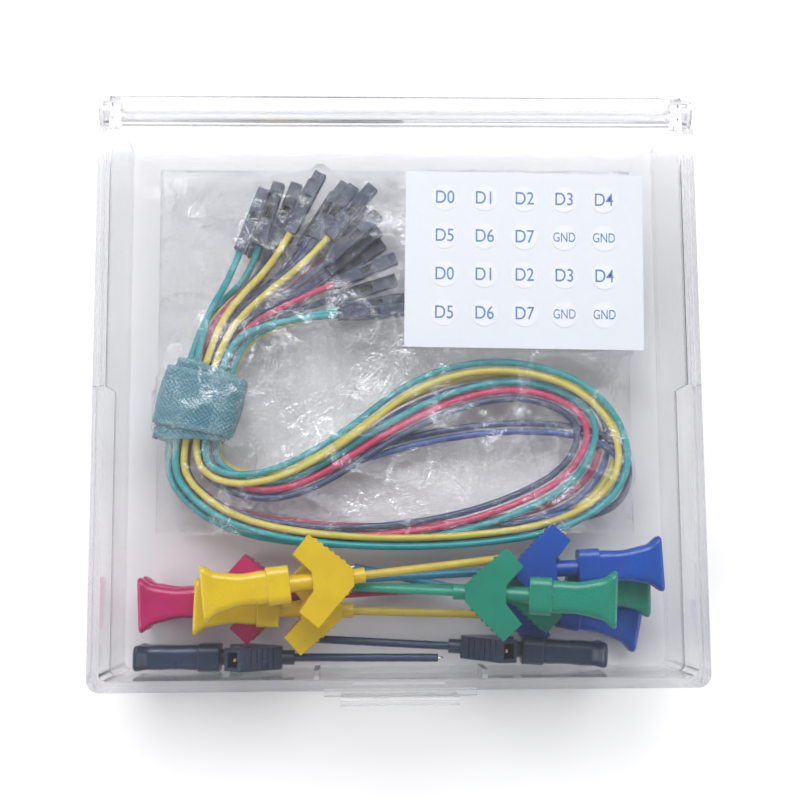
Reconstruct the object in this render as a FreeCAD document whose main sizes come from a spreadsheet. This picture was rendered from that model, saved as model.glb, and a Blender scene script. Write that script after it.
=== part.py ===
import FreeCAD, Part
import math
import os
import re
from FreeCAD import Placement, Rotation, Vector

# A clear hinged case that holds ten jumper leads and ten hook test clips.
# Frame: X to the right, Y towards the hinge, Z up, origin under the middle of the case.
# Everything is in millimetres.

doc = FreeCAD.newDocument("lead_and_clip_kit")
sheet = doc.addObject("Spreadsheet::Sheet", "Sizes")

SIZE_ROWS = [
    # clear case
    ("case_w", 115.0, "case width across the hinge"),
    ("case_d", 114.0, "case depth from front to hinge"),
    ("case_h", 30.0, "case height with the lid shut"),
    ("wall", 2.0, "side wall thickness"),
    ("floor_t", 1.5, "tray floor thickness"),
    ("roof_t", 1.5, "lid roof thickness"),
    ("corner_r", 2.5, "outer corner radius"),
    ("split_low", 15.0, "height of the parting line in the front half"),
    ("split_high", 24.4, "height of the parting line in the rear half"),
    ("lip_t", 0.9, "thickness of the tray's locating lip"),
    ("lip_h", 2.0, "height of the tray's locating lip"),
    ("seam", 0.15, "gap between lid and tray"),
    ("hinge_r", 3.4, "radius of the lid's rolled rear edge"),
    ("roll_t", 1.2, "wall of the rolled edge"),
    ("hinge_gap", 0.4, "air around the rolled edge"),
    ("pin_r", 1.5, "radius of the hinge pegs"),
    ("pin_fit", 0.05, "radial clearance of the hinge pegs"),
    ("ledge_w", 28.4, "width of the ledge above the latch"),
    ("ledge_out", 1.3, "how far that ledge stands out"),
    ("latch_w", 22.4, "width of the latch flap"),
    ("latch_t", 1.5, "thickness of the latch flap"),
    ("latch_drop", 13.5, "length of the latch flap below its hinge"),
    ("knuckle_r", 0.9, "radius of the latch flap's hinge line"),
    ("rib_x", 15.6, "distance of the lid's front ribs from the middle"),
    # hook clip, along its own axis from the plunger's end
    ("flare_w", 10.8, "width of the plunger's flared end"),
    ("flare_t", 4.8, "thickness of the plunger's flared end"),
    ("barrel_w", 6.0, "width of the plunger's barrel"),
    ("barrel_t", 4.6, "thickness of the plunger's barrel"),
    ("collar_a", 12.2, "start of the plunger's collar"),
    ("collar_b", 16.5, "end of the plunger's collar"),
    ("collar_w", 7.2, "width of the collar"),
    ("collar_t", 5.4, "thickness of the collar"),
    ("neck_r", 1.6, "radius of the plunger's neck"),
    ("neck_end", 23.5, "end of the neck inside the body"),
    ("slide_fit", 0.05, "radial clearance of the neck in its bore"),
    ("crotch", 20.8, "bottom of the notch between the wings"),
    ("wing_tip_s", 21.0, "wing tip along the axis"),
    ("wing_tip_t", 8.8, "wing tip across the axis"),
    ("wing_back_s", 17.7, "wing's rear corner along the axis"),
    ("wing_back_t", 5.4, "wing's rear corner across the axis"),
    ("nose_s", 28.6, "start of the nose"),
    ("nose_end", 31.0, "end of the nose"),
    ("nose_r", 1.45, "radius of the nose"),
    ("body_t", 4.4, "thickness of the winged body"),
    ("bore_end", 27.5, "bottom of the spring bore"),
    ("tube_r", 0.55, "outer radius of the metal tube"),
    ("tube_bore", 0.42, "inner radius of the metal tube"),
    ("sleeve_r", 0.8, "outer radius of the plastic sleeve"),
    ("sleeve_gap", 0.4, "bare metal between nose and sleeve"),
    ("clip_len", 59.5, "end of the sleeve"),
    ("hook_r", 0.3, "radius of the hook wire"),
    ("bend_r", 0.45, "radius of the hook's bend"),
    ("travel", 2.4, "plunger travel"),
    ("coil_r", 1.05, "mean radius of the spring"),
    ("coil_wire", 0.15, "radius of the spring's wire"),
    ("coil_turns", 6.0, "turns of the spring"),
    ("socket", 2.9, "width of the square socket in one wing"),
    ("socket_deep", 4.6, "depth of that socket"),
    ("post", 0.64, "width of the square contact post"),
    # leads
    ("lead_d", 1.4, "outer diameter of a lead"),
    ("housing", 2.54, "width of a single-way housing"),
    ("housing_len", 14.0, "length of a single-way housing"),
    ("entry", 1.3, "width of the hole in a housing"),
    ("entry_deep", 9.0, "depth of the hole in a housing"),
    ("contact", 1.1, "width of the crimp contact"),
    ("pitch", 1.75, "spacing of leads side by side in the bundle"),
    ("row_z", 5.1, "height of the lowest row of leads"),
    ("row_step", 1.7, "height between rows of leads"),
    ("fan_z", 3.15, "height of the lowest row of housings"),
    ("fan_step", 2.75, "height between rows of housings"),
    # strap, bag and label sheet
    ("strap_half", 6.0, "half the inside width of the strap"),
    ("strap_t", 1.2, "thickness of one turn of the strap"),
    ("strap_len", 17.0, "length of the inner turn along the bundle"),
    ("strap_outer", 12.0, "length of the outer turn along the bundle"),
    ("film", 0.12, "thickness of the bag film"),
    ("bag_w", 100.0, "width of the bag"),
    ("bag_top", 14.2, "height of the bag's top film over the housings"),
    ("bag_low", 11.3, "height of the bag's top film at its open edge"),
    ("label_w", 48.6, "width of the label sheet"),
    ("label_d", 36.4, "depth of the label sheet"),
    ("label_t", 0.25, "thickness of the label sheet"),
    ("dot_r", 2.65, "radius of a round label"),
    ("dot_t", 0.1, "thickness of a round label"),
    ("dot_dx", 8.15, "spacing of the labels across"),
    ("dot_dy", 7.95, "spacing of the labels up the sheet"),
]
NAMES = set()
for number, (alias, value, note) in enumerate(SIZE_ROWS, start=1):
    sheet.set("A%d" % number, alias)
    sheet.set("B%d" % number, str(value))
    sheet.set("C%d" % number, note)
    sheet.setAlias("B%d" % number, alias)
    NAMES.add(alias)
doc.recompute()


def size(alias):
    """The value that the sheet holds under this name."""
    return float(sheet.get(alias))


def bind(obj, prop, words):
    """Ties a property to the sheet: bare size names become sheet references."""
    text = re.sub(
        r"[a-z][a-z0-9_]*",
        lambda m: "Sizes." + m.group(0) if m.group(0) in NAMES else m.group(0),
        str(words),
    )
    obj.setExpression(prop, text)


def put(obj, x, y, z):
    """Ties an object's position to the sheet."""
    bind(obj, "Placement.Base.x", x)
    bind(obj, "Placement.Base.y", y)
    bind(obj, "Placement.Base.z", z)


def box(name, x, y, z, length, width, height):
    """A box from its low corner and its three sizes."""
    obj = doc.addObject("Part::Box", name)
    bind(obj, "Length", length)
    bind(obj, "Width", width)
    bind(obj, "Height", height)
    put(obj, x, y, z)
    return obj


def rod(name, x, y, z, radius, length, axis="z"):
    """A cylinder that starts at a point and runs along one axis."""
    obj = doc.addObject("Part::Cylinder", name)
    bind(obj, "Radius", radius)
    bind(obj, "Height", length)
    if axis == "x":
        obj.Placement.Rotation = Rotation(Vector(0, 1, 0), 90)
    if axis == "y":
        obj.Placement.Rotation = Rotation(Vector(1, 0, 0), -90)
    put(obj, x, y, z)
    return obj


def fuse(name, pieces):
    """The union of several pieces."""
    obj = doc.addObject("Part::MultiFuse", name)
    obj.Shapes = pieces
    obj.Refine = True
    return obj


def cut(name, base, tools):
    """A piece with other pieces taken away."""
    obj = doc.addObject("Part::Cut", name)
    obj.Base = base
    obj.Tool = tools[0] if len(tools) == 1 else fuse(name + "_tools", tools)
    obj.Refine = True
    return obj


def common(name, pieces):
    """The part that all pieces share."""
    obj = doc.addObject("Part::MultiCommon", name)
    obj.Shapes = pieces
    return obj


def rounded_box(name, half_x, half_y, low, height, radius):
    """A box about the Z axis with its four upright edges rounded."""
    parts = [
        box(name + "_a", "-(%s)" % half_x, "-(%s) + (%s)" % (half_y, radius), low,
            "2 * (%s)" % half_x, "2 * (%s) - 2 * (%s)" % (half_y, radius), height),
        box(name + "_b", "-(%s) + (%s)" % (half_x, radius), "-(%s)" % half_y, low,
            "2 * (%s) - 2 * (%s)" % (half_x, radius), "2 * (%s)" % half_y, height),
    ]
    for count, (sx, sy) in enumerate([(-1, -1), (1, -1), (1, 1), (-1, 1)]):
        parts.append(
            rod("%s_c%d" % (name, count),
                "%d * ((%s) - (%s))" % (sx, half_x, radius),
                "%d * ((%s) - (%s))" % (sy, half_y, radius), low, radius, height)
        )
    return fuse(name, parts)


def prism(name, corners, low, height):
    """A flat outline, each corner tied to the sheet, raised along Z."""
    sketch = doc.addObject("Sketcher::SketchObject", name + "_outline")
    count = len(corners)
    for k in range(count):
        a = Vector(k, k * k % 7, 0)
        b = Vector(k + 1, (k + 1) * (k + 1) % 7, 0)
        sketch.addGeometry(Part.LineSegment(a, b), False)
    import Sketcher
    for k in range(count):
        sketch.addConstraint(Sketcher.Constraint("Coincident", k, 2, (k + 1) % count, 1))
    for k, (x, y) in enumerate(corners):
        for kind, words in (("DistanceX", x), ("DistanceY", y)):
            spot = sketch.addConstraint(Sketcher.Constraint(kind, -1, 1, k, 1, 1.0 + k))
            bind(sketch, "Constraints[%d]" % spot, words)
    put(sketch, 0, 0, low)
    solid = doc.addObject("Part::Extrusion", name)
    solid.Base = sketch
    solid.DirMode = "Custom"
    solid.Dir = Vector(0, 0, 1)
    solid.Solid = True
    bind(solid, "LengthFwd", height)
    return solid


def copy_of(name, masters, placement):
    """A node made of one or more masters, set in its place."""
    obj = doc.addObject("Part::Compound", name)
    obj.Links = masters
    obj.Placement = placement
    return obj


def shape_node(name, shape, placement=None):
    """A node whose shape is computed from the sheet's sizes."""
    obj = doc.addObject("Part::Feature", name)
    obj.Shape = shape
    if placement is not None:
        obj.Placement = placement
    return obj


NODES = []


def node(obj, label):
    """Marks an object as one of the pieces that are written out."""
    obj.Label = label
    NODES.append((label, obj))
    return obj


# ------------------------------------------------------------------ the case
HX = "case_w / 2"
HY = "case_d / 2"
IN_X = "case_w / 2 - wall"
IN_Y = "case_d / 2 - wall"
AXIS_Y = "(case_d / 2 - hinge_r)"
AXIS_Z = "(case_h - hinge_r)"
FAR = "case_w + 20"

outer = rounded_box("tray_outer", HX, HY, 0, "case_h", "corner_r")
inner = rounded_box("tray_inner", IN_X, IN_Y, "floor_t", "case_h", "corner_r - wall / 2")
LIP_X = "case_w / 2 - wall + lip_t"
LIP_Y = "case_d / 2 - wall + lip_t"
lip_keep = rounded_box("lip_keep", LIP_X, LIP_Y, "-1", "case_h + 2", "corner_r - wall / 2")
front_zone = box("front_zone", "-(%s) / 2" % FAR, "-case_d", "split_low", FAR, "case_d", "case_h")
front_ring = cut("front_ring", front_zone, [lip_keep])
front_top = box("front_top", "-(%s) / 2" % FAR, "-case_d", "split_low + lip_h",
                FAR, "case_d", "case_h")
rear_zone = box("rear_zone", "-(%s) / 2" % FAR, "-1", "split_high",
                FAR, "case_d / 2 - 2 * hinge_r + 1", "case_h")
rear_ring = cut("rear_ring", rear_zone, [lip_keep])
rear_top = box("rear_top", "-(%s) / 2" % FAR, "-1", "split_high + lip_h",
               FAR, "case_d / 2 - 2 * hinge_r + 1", "case_h")
ear_top = box("ear_top", "-(%s) / 2" % FAR, "case_d / 2 - 2 * hinge_r - 1", AXIS_Z,
              FAR, "2 * hinge_r + 5", "case_h")
back_low = box("back_low", "-(%s)" % IN_X, "case_d / 2 - 2 * hinge_r - 0.5",
               "case_h - 2 * hinge_r - hinge_gap", "2 * (%s)" % IN_X, "2 * hinge_r + 5", "case_h")
tray_walls = cut("tray_walls", outer,
                 [inner, front_ring, front_top, rear_ring, rear_top, ear_top, back_low])
ears = []
for side, start in (("left", "-(case_w / 2)"), ("right", "case_w / 2 - wall")):
    ears.append(rod("ear_" + side, start, AXIS_Y, AXIS_Z, "hinge_r", "wall", "x"))
ear_pair = common("ear_pair", [fuse("ear_discs", ears), outer])
catch_pad = box("catch_pad", -9, "-(case_d / 2) - 0.7", "split_low - 7.5", 18, 1.2, 7)
tray_full = fuse("tray_full", [tray_walls, ear_pair, catch_pad])
peg_holes = []
for side, start in (("left", "-(case_w / 2) + 0.5"), ("right", "case_w / 2 - wall - 0.5")):
    peg_holes.append(rod("peg_hole_" + side, start, AXIS_Y, AXIS_Z, "pin_r + pin_fit", "wall", "x"))
tray = node(cut("tray_solid", tray_full, peg_holes), "case_tray")

lid_block = rounded_box("lid_block", HX, HY, "split_low + seam", "case_h - split_low - seam", "corner_r")
lid_hollow = rounded_box("lid_hollow", IN_X, IN_Y, 0, "case_h - roof_t", "corner_r - wall / 2")
lid_rear_low = box("lid_rear_low", "-(%s) / 2" % FAR, "-seam", 0, FAR, "case_d", "split_high + seam")
lid_front_rabbet = rounded_box("lid_front_rabbet", LIP_X + " + seam", LIP_Y + " + seam",
                               "split_low", "lip_h + seam", "corner_r - wall / 2")
rabbet_ring = rounded_box("rabbet_ring", LIP_X + " + seam", LIP_Y + " + seam",
                          "split_high", "lip_h + seam", "corner_r - wall / 2")
rabbet_zone = box("rabbet_zone", "-(%s) / 2" % FAR, "-seam", "split_high", FAR, "case_d", "lip_h + seam")
lid_rear_rabbet = common("lid_rear_rabbet", [rabbet_ring, rabbet_zone])
lid_tail = box("lid_tail", "-(%s) / 2" % FAR, AXIS_Y, 0, FAR, "case_d", "case_h + 1")
ear_rooms = []
for side, start in (("left", "-(case_w / 2) - 1"), ("right", "case_w / 2 - wall - seam")):
    ear_rooms.append(
        box("ear_room_" + side, start, "case_d / 2 - 2 * hinge_r - hinge_gap", 0,
            "wall + seam + 1", "case_d", "case_h + 1")
    )
lid_shell = cut("lid_shell", lid_block,
                [lid_hollow, lid_rear_low, lid_front_rabbet, lid_rear_rabbet, lid_tail] + ear_rooms)
rolled = rod("rolled_edge", "-(%s) + seam + 0.1" % IN_X, AXIS_Y, AXIS_Z, "hinge_r",
             "2 * (%s) - 2 * seam - 0.2" % IN_X, "x")
pegs = rod("hinge_pegs", "-(case_w / 2) + 0.6", AXIS_Y, AXIS_Z, "pin_r", "case_w - 1.2", "x")
ledge = box("latch_ledge", "-ledge_w / 2", "-(case_d / 2) - ledge_out", "case_h - 5.5",
            "ledge_w", "ledge_out + wall / 2", 3)
lid_ribs = []
for side in (-1, 1):
    lid_ribs.append(
        box("lid_rib_%d" % (side + 1), "%d * rib_x - 0.5" % side, "-(case_d / 2) + wall - 0.3",
            "split_low + lip_h + 0.6", 1.0, 2.0, "case_h - roof_t / 2 - split_low - lip_h - 0.6")
    )
lid_full = fuse("lid_full", [lid_shell, rolled, pegs, ledge] + lid_ribs)
roll_void = rod("roll_void", "-(%s) + 2" % IN_X, AXIS_Y, AXIS_Z, "hinge_r - roll_t",
                "2 * (%s) - 4" % IN_X, "x")
roll_mouth = box("roll_mouth", "-(%s) + 2" % IN_X, "case_d / 2 - 2 * hinge_r - 1",
                 "case_h - 2 * hinge_r - 1", "2 * (%s) - 4" % IN_X, "hinge_r + 1", "hinge_r + 1")
lid = node(cut("lid_solid", lid_full, [roll_void, roll_mouth]), "case_lid")

LATCH_Y = "(-(case_d / 2) - ledge_out - 0.1 - knuckle_r)"
LATCH_Z = "(case_h - 4)"
knuckle = rod("latch_knuckle", "-latch_w / 2", LATCH_Y, LATCH_Z, "knuckle_r", "latch_w", "x")
flap = box("latch_flap", "-latch_w / 2", LATCH_Y + " - knuckle_r", LATCH_Z + " - latch_drop",
           "latch_w", "latch_t", "latch_drop")
thumb = rod("latch_thumb", "-latch_w / 2", LATCH_Y + " - knuckle_r", LATCH_Z + " - latch_drop + 1.2",
            1.2, "latch_w", "x")
node(fuse("latch_solid", [knuckle, flap, thumb]), "front_latch")

# --------------------------------------------------------- one hook clip, as masters
# Each master lies along +X with the plunger's end at the origin.
outline = [
    ("crotch", "1.8"),
    ("wing_back_s", "wing_back_t"),
    ("wing_tip_s", "wing_tip_t"),
    ("nose_s", "1.7"),
    ("nose_s", "-1.7"),
    ("wing_tip_s", "-wing_tip_t"),
    ("wing_back_s", "-wing_back_t"),
    ("crotch", "-1.8"),
]
wings = prism("clip_wings", outline, "-body_t / 2", "body_t")
nose = rod("clip_nose", "nose_s - 1", 0, 0, "nose_r", "nose_end - nose_s + 1", "x")
WING_DEG = math.degrees(math.atan2(size("wing_tip_t") - 1.7, size("nose_s") - size("wing_tip_s")))
grips = []
for side in (-1, 1):
    for count in range(6):
        share = 0.16 + 0.13 * count
        grip = doc.addObject("Part::Box", "grip_%d_%d" % (side + 1, count))
        bind(grip, "Length", 0.6)
        bind(grip, "Width", 0.6)
        bind(grip, "Height", "body_t - 0.6")
        turn = Rotation(Vector(0, 0, 1), -side * WING_DEG)
        grip.Placement.Rotation = turn
        dip = turn.multVec(Vector(-0.3, -0.3, 0))
        put(grip,
            "wing_tip_s + (nose_s - wing_tip_s) * %.3f + %.4f" % (share, dip.x),
            "%d * (wing_tip_t + (1.7 - wing_tip_t) * %.3f) + %.4f" % (side, share, dip.y),
            "-body_t / 2 + 0.3")
        grips.append(grip)
clip_block = fuse("clip_block", [wings, nose] + grips)
slide_bore = rod("slide_bore", "crotch - 4", 0, 0, "neck_r + slide_fit", "bore_end - crotch + 4", "x")
tube_bore = rod("clip_tube_bore", "bore_end - 1", 0, 0, "tube_r + 0.01", "nose_end - bore_end + 2", "x")
END_S = (size("wing_tip_s") + size("wing_back_s")) / 2
END_T = (size("wing_tip_t") + size("wing_back_t")) / 2
END_DEG = -math.degrees(
    math.atan2(size("wing_tip_s") - size("wing_back_s"), size("wing_tip_t") - size("wing_back_t"))
)
socket_turn = Rotation(Vector(0, 0, 1), END_DEG)
half_socket = socket_turn.multVec(Vector(-1.0, -size("socket") / 2, 0))
hole = doc.addObject("Part::Box", "clip_socket")
bind(hole, "Length", "socket_deep + 1")
bind(hole, "Width", "socket")
bind(hole, "Height", "socket")
hole.Placement.Rotation = socket_turn
put(hole, "(wing_tip_s + wing_back_s) / 2 + %.4f" % half_socket.x,
    "(wing_tip_t + wing_back_t) / 2 + %.4f" % half_socket.y, "-socket / 2")
body_master = cut("clip_body_master", clip_block, [slide_bore, tube_bore, hole])

post_at = socket_turn.multVec(Vector(size("socket_deep") - 4.0, -size("post") / 2, 0))
post_master = doc.addObject("Part::Box", "clip_post_master")
bind(post_master, "Length", 4.0)
bind(post_master, "Width", "post")
bind(post_master, "Height", "post")
post_master.Placement.Rotation = socket_turn
put(post_master, "(wing_tip_s + wing_back_s) / 2 + %.4f" % post_at.x,
    "(wing_tip_t + wing_back_t) / 2 + %.4f" % post_at.y, "-post / 2")

sleeve_master = cut(
    "clip_sleeve_master",
    rod("sleeve_out", "nose_end + sleeve_gap", 0, 0, "sleeve_r",
        "clip_len - nose_end - sleeve_gap", "x"),
    [rod("sleeve_in", "nose_end", 0, 0, "tube_r + 0.01", "clip_len", "x")],
)
tube_master = cut(
    "clip_tube_master",
    rod("tube_out", "bore_end + 0.05", 0, 0, "tube_r", "clip_len - bore_end - 0.35", "x"),
    [rod("tube_in", "bore_end - 1", 0, 0, "tube_bore", "clip_len", "x")],
)


def rounded_wire(x, width, height):
    """A rectangle across the X axis with its corners cut by arcs."""
    r = 0.3 * height
    y = width / 2
    z = height / 2
    k = r * (1 - math.sqrt(0.5))
    ring = [
        (-y + r, -z), (y - r, -z), (y - k, -z + k), (y, -z + r), (y, z - r), (y - k, z - k),
        (y - r, z), (-y + r, z), (-y + k, z - k), (-y, z - r), (-y, -z + r), (-y + k, -z + k),
    ]
    p = [Vector(x, a, b) for a, b in ring]
    edges = []
    for k in range(0, 12, 3):
        edges.append(Part.makeLine(p[k], p[k + 1]))
        edges.append(Part.Arc(p[k + 1], p[k + 2], p[(k + 3) % 12]).toShape())
    return Part.Wire(edges)


def plunger_shape():
    """The flat trumpet, its collar and the neck that slides in the body."""
    a = size("collar_a")
    stations = [
        (0.0, size("flare_w") - 0.5, size("flare_t") - 0.5),
        (0.35, size("flare_w"), size("flare_t")),
        (1.6, size("flare_w") * 0.86, size("flare_t") * 0.985),
        (3.6, size("flare_w") * 0.69, size("flare_t") * 0.97),
        (6.2, size("barrel_w") * 1.06, size("barrel_t")),
        (9.0, size("barrel_w"), size("barrel_t")),
        (a + 0.5, size("barrel_w") * 0.98, size("barrel_t")),
    ]
    trumpet = Part.makeLoft([rounded_wire(*station) for station in stations], True, False)
    collar = Part.makeLoft(
        [rounded_wire(x, size("collar_w") - f, size("collar_t") - f)
         for x, f in ((a, 0.3), (a + 0.15, 0.0), (size("collar_b") - 0.15, 0.0), (size("collar_b"), 0.3))],
        True, True,
    )
    neck = Part.makeCylinder(size("neck_r"), size("neck_end") - size("collar_b") + 1.0,
                             Vector(size("collar_b") - 1.0, 0, 0), Vector(1, 0, 0))
    bore = Part.makeCylinder(size("hook_r"), 3.0, Vector(size("neck_end") - 2.0, 0, 0), Vector(1, 0, 0))
    return trumpet.fuse([collar, neck]).cut(bore).removeSplitter()


def tube_along(points, radius, firm=0.45):
    """A round tube along straight runs joined by tangent arcs; also its length and radii."""
    p = [Vector(*q) for q in points]
    edges = []
    radii = []
    start = p[0]
    for k in range(1, len(p) - 1):
        back = p[k - 1] - p[k]
        ahead = p[k + 1] - p[k]
        turn = math.pi - back.getAngle(ahead)
        reach = firm * min(back.Length, ahead.Length)
        radii.append(reach / math.tan(turn / 2))
        a = p[k] + back.normalize() * reach
        b = p[k] + ahead.normalize() * reach
        chord = (a + b) * 0.5 - p[k]
        depth = radii[-1] / math.cos(turn / 2) - radii[-1]
        middle = p[k] + chord.normalize() * depth
        edges.append(Part.LineSegment(start, a).toShape())
        edges.append(Part.Arc(a, middle, b).toShape())
        start = b
    edges.append(Part.LineSegment(start, p[-1]).toShape())
    spine = Part.Wire(edges)
    first = (p[1] - p[0]).normalize()
    ring = Part.Wire([Part.makeCircle(radius, p[0], first)])
    tube = spine.makePipeShell([ring], True, False)
    return tube, spine.Length, min(radii) if radii else 0.0


def hook_shape():
    """The sprung wire with the small hook at its far end."""
    end = size("clip_len") + 0.25
    r = size("bend_r")
    wire = size("hook_r")
    start = Vector(size("neck_end") - 2.0, 0, 0)
    bend = Part.Arc(Vector(end, 0, 0), Vector(end + r, r, 0), Vector(end, 2 * r, 0)).toShape()
    back = Part.makeLine(Vector(end, 2 * r, 0), Vector(end - 0.15, 2 * r, 0))
    spine = Part.Wire([Part.makeLine(start, Vector(end, 0, 0)), bend, back])
    ring = Part.Wire([Part.makeCircle(wire, start, Vector(1, 0, 0))])
    return spine.makePipeShell([ring], True, False)


def spring_shape():
    """The coil between the neck and the bottom of the bore."""
    room = size("bore_end") - size("neck_end")
    wire = size("coil_wire")
    rise = room - 2 * wire - 0.2
    helix = Part.makeHelix(rise / size("coil_turns"), rise, size("coil_r"))
    ring = Part.Wire([Part.makeCircle(wire, Vector(size("coil_r"), 0, 0), Vector(0, 1, 0.1))])
    coil = Part.Wire(helix).makePipeShell([ring], True, True)
    coil.rotate(Vector(0, 0, 0), Vector(0, 1, 0), 90)
    coil.translate(Vector(size("neck_end") + wire + 0.1, 0, 0))
    return coil


plunger_master = shape_node("clip_plunger_master", plunger_shape())
hook_master = shape_node("clip_hook_master", hook_shape())
spring_master = shape_node("clip_spring_master", spring_shape())

# Where each clip lies: end of the plunger (x from the middle or a side wall, y from the
# front wall, z), direction in plan, fall along the clip and roll about its axis.
FRONT = -size("case_d") / 2
RIGHT = size("case_w") / 2
CLIPS = [
    ("yellow_a", (-RIGHT + 20.3, FRONT + 17.6, 25.6), 6.2, 0.122, 0),
    ("yellow_b", (-RIGHT + 17.7, FRONT + 15.0, 16.25), -2.2, 0.105, 0),
    ("red_a", (-RIGHT + 6.2, FRONT + 15.1, 10.8), 2.6, 0.06, 0),
    ("red_b", (-RIGHT + 6.2, FRONT + 15.3, 4.42), 2.6, 0.01, 0),
    ("black_a", (-RIGHT + 6.0, FRONT + 5.0, 10.6), -0.6, 0.0, 90),
    ("green_a", (RIGHT - 16.4, FRONT + 16.0, 25.05), 177.0, 0.125, 180),
    ("green_b", (RIGHT - 7.0, FRONT + 17.4, 10.2), 179.0, 0.0, 0),
    ("blue_a", (RIGHT - 5.7, FRONT + 22.7, 16.65), 182.5, 0.05, 0),
    ("blue_b", (RIGHT - 8.1, FRONT + 9.9, 4.05), 168.0, -0.035, 0),
    ("black_b", (RIGHT - 16.5, FRONT + 4.9, 11.5), 176.8, 0.05, 90),
]
sleeves = []
contacts = []
for name, at, yaw, fall, roll in CLIPS:
    turn = (
        Rotation(Vector(0, 0, 1), yaw)
        .multiply(Rotation(Vector(0, 1, 0), math.degrees(math.atan(fall))))
        .multiply(Rotation(Vector(1, 0, 0), roll))
    )
    where = Placement(Vector(*at), turn)
    node(copy_of("body_" + name, [body_master], where), "clip_body_" + name)
    node(copy_of("plunger_" + name, [plunger_master], where), "clip_plunger_" + name)
    node(copy_of("hook_" + name, [hook_master], where), "clip_hook_" + name)
    node(copy_of("spring_" + name, [spring_master], where), "clip_spring_" + name)
    sleeves.append(copy_of("sleeve_" + name, [sleeve_master], where))
    contacts.append(copy_of("metal_" + name, [tube_master, post_master], where))
    way = turn.multVec(Vector(1, 0, 0))
    print("clip", name, "at", at, "axis", [round(v, 5) for v in way])
node(copy_of("sleeve_group", sleeves, Placement()), "clip_sleeves")

# ------------------------------------------------------------------ the leads
# Ten leads are folded in half. Both halves pass the strap side by side in four rows.
LEAN = 75.5
MIDDLE = Vector(-RIGHT + 17.7, -0.5, 0)
ALONG = Vector(math.cos(math.radians(LEAN)), math.sin(math.radians(LEAN)), 0)
ACROSS = Vector(math.sin(math.radians(LEAN)), -math.cos(math.radians(LEAN)), 0)
REACH = 12.0

# The innermost loop of each row, from the strap's lower end round to the strap again.
LOOPS = [
    [(-41.8, -18.2), (-32.0, -24.2), (-12.0, -26.6), (12.0, -26.2), (32.0, -23.2), (42.0, -15.0),
     (42.5, -4.5), (34.5, 0.8), (21.0, 2.0), (5.0, -2.0), (-9.0, -11.5), (-21.0, -18.6),
     (-34.0, -19.3)],
    [(-41.2, -18.8), (-30.5, -26.0), (-10.0, -28.2), (14.0, -27.2), (34.0, -24.5), (46.0, -21.0),
     (46.5, -10.5), (31.0, -6.6), (8.0, -8.4), (-13.0, -14.8), (-25.0, -20.0), (-35.2, -19.4)],
    [(-41.5, -18.0), (-33.0, -24.2), (-14.0, -27.2), (6.0, -25.8), (22.0, -21.6), (35.0, -15.0),
     (38.5, -5.5), (28.0, 0.0), (14.0, -1.5), (-2.0, -9.5), (-15.0, -18.2), (-25.5, -21.4),
     (-35.2, -19.2)],
    [(-41.5, -18.5), (-31.5, -25.4), (-12.0, -28.8), (12.0, -29.0), (34.0, -26.0), (45.5, -17.5),
     (45.0, -6.5), (36.0, 2.5), (20.0, 6.0), (4.0, 2.0), (-10.0, -9.5), (-24.0, -17.2),
     (-35.6, -18.2)],
]
# Each row's fan of housings, left to right: angle about the strap's upper end, distance
# to the housing's rear face, and how far the housing itself is turned from that angle.
FANS = [
    [(70, 20.0, 5), (60, 23.0, 7), (51, 27.0, 7), (41, 29.0, 6), (31, 27.0, 5), (17, 25.5, -6)],
    [(62, 24.0, 7), (50, 29.5, 7), (34, 27.5, 6), (22, 25.5, -5)],
    [(67, 22.0, 6), (57, 25.5, 7), (47, 29.5, 7), (37, 29.0, 6), (27, 27.0, -4), (15, 26.5, -6)],
    [(75, 19.0, -6), (56, 27.0, 7), (43, 31.5, 6), (12, 25.5, -8)],
]
# The leads by row, outermost loop first.
ROWS = [
    ["lead_yellow_a", "lead_blue_a", "lead_red_a"],
    ["lead_black_a", "lead_blue_b"],
    ["lead_green_a", "lead_red_b", "lead_black_b"],
    ["lead_green_b", "lead_yellow_b"],
]


def loop_end(loop, first):
    """The end of a loop at the strap's upper side: its start or its finish."""
    return loop[0] if first else loop[-1]


def miter_offset(points, distance):
    """The same path moved sideways, to the right of its direction, corner by corner."""
    moved = []
    for k, here in enumerate(points):
        ways = []
        if k > 0:
            ways.append((here - points[k - 1]).normalize())
        if k < len(points) - 1:
            ways.append((points[k + 1] - here).normalize())
        sides = [Vector(w.y, -w.x, 0) for w in ways]
        side = sides[0] if len(sides) == 1 else (sides[0] + sides[1]).normalize()
        moved.append(here + side * (distance / side.dot(sides[0])))
    return moved


housings = []
lead_boxes = []
full = size("housing")
deep = size("housing_len")
house_block = box("house_block", 0, "-housing / 2", "-housing / 2", "housing_len", "housing", "housing")
house_entry = box("house_entry", "housing_len - entry_deep", "-entry / 2", "-entry / 2",
                  "entry_deep + 1", "entry", "entry")
house_window = box("house_window", "housing_len * 0.42", -0.55, "housing / 2 - 0.3", 2.6, 1.1, 1)
house_master = cut("housing_master", house_block, [house_entry, house_window])
contact_block = box("contact_block", "housing_len - entry_deep", "-contact / 2", "-contact / 2",
                    "entry_deep - 0.6", "contact", "contact")
contact_hole = box("contact_hole", "housing_len - entry_deep + 2", "-post / 2 - 0.03", "-post / 2 - 0.03",
                   "entry_deep", "post + 0.06", "post + 0.06")
contact_master = cut("contact_master", contact_block, [contact_hole])

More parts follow.
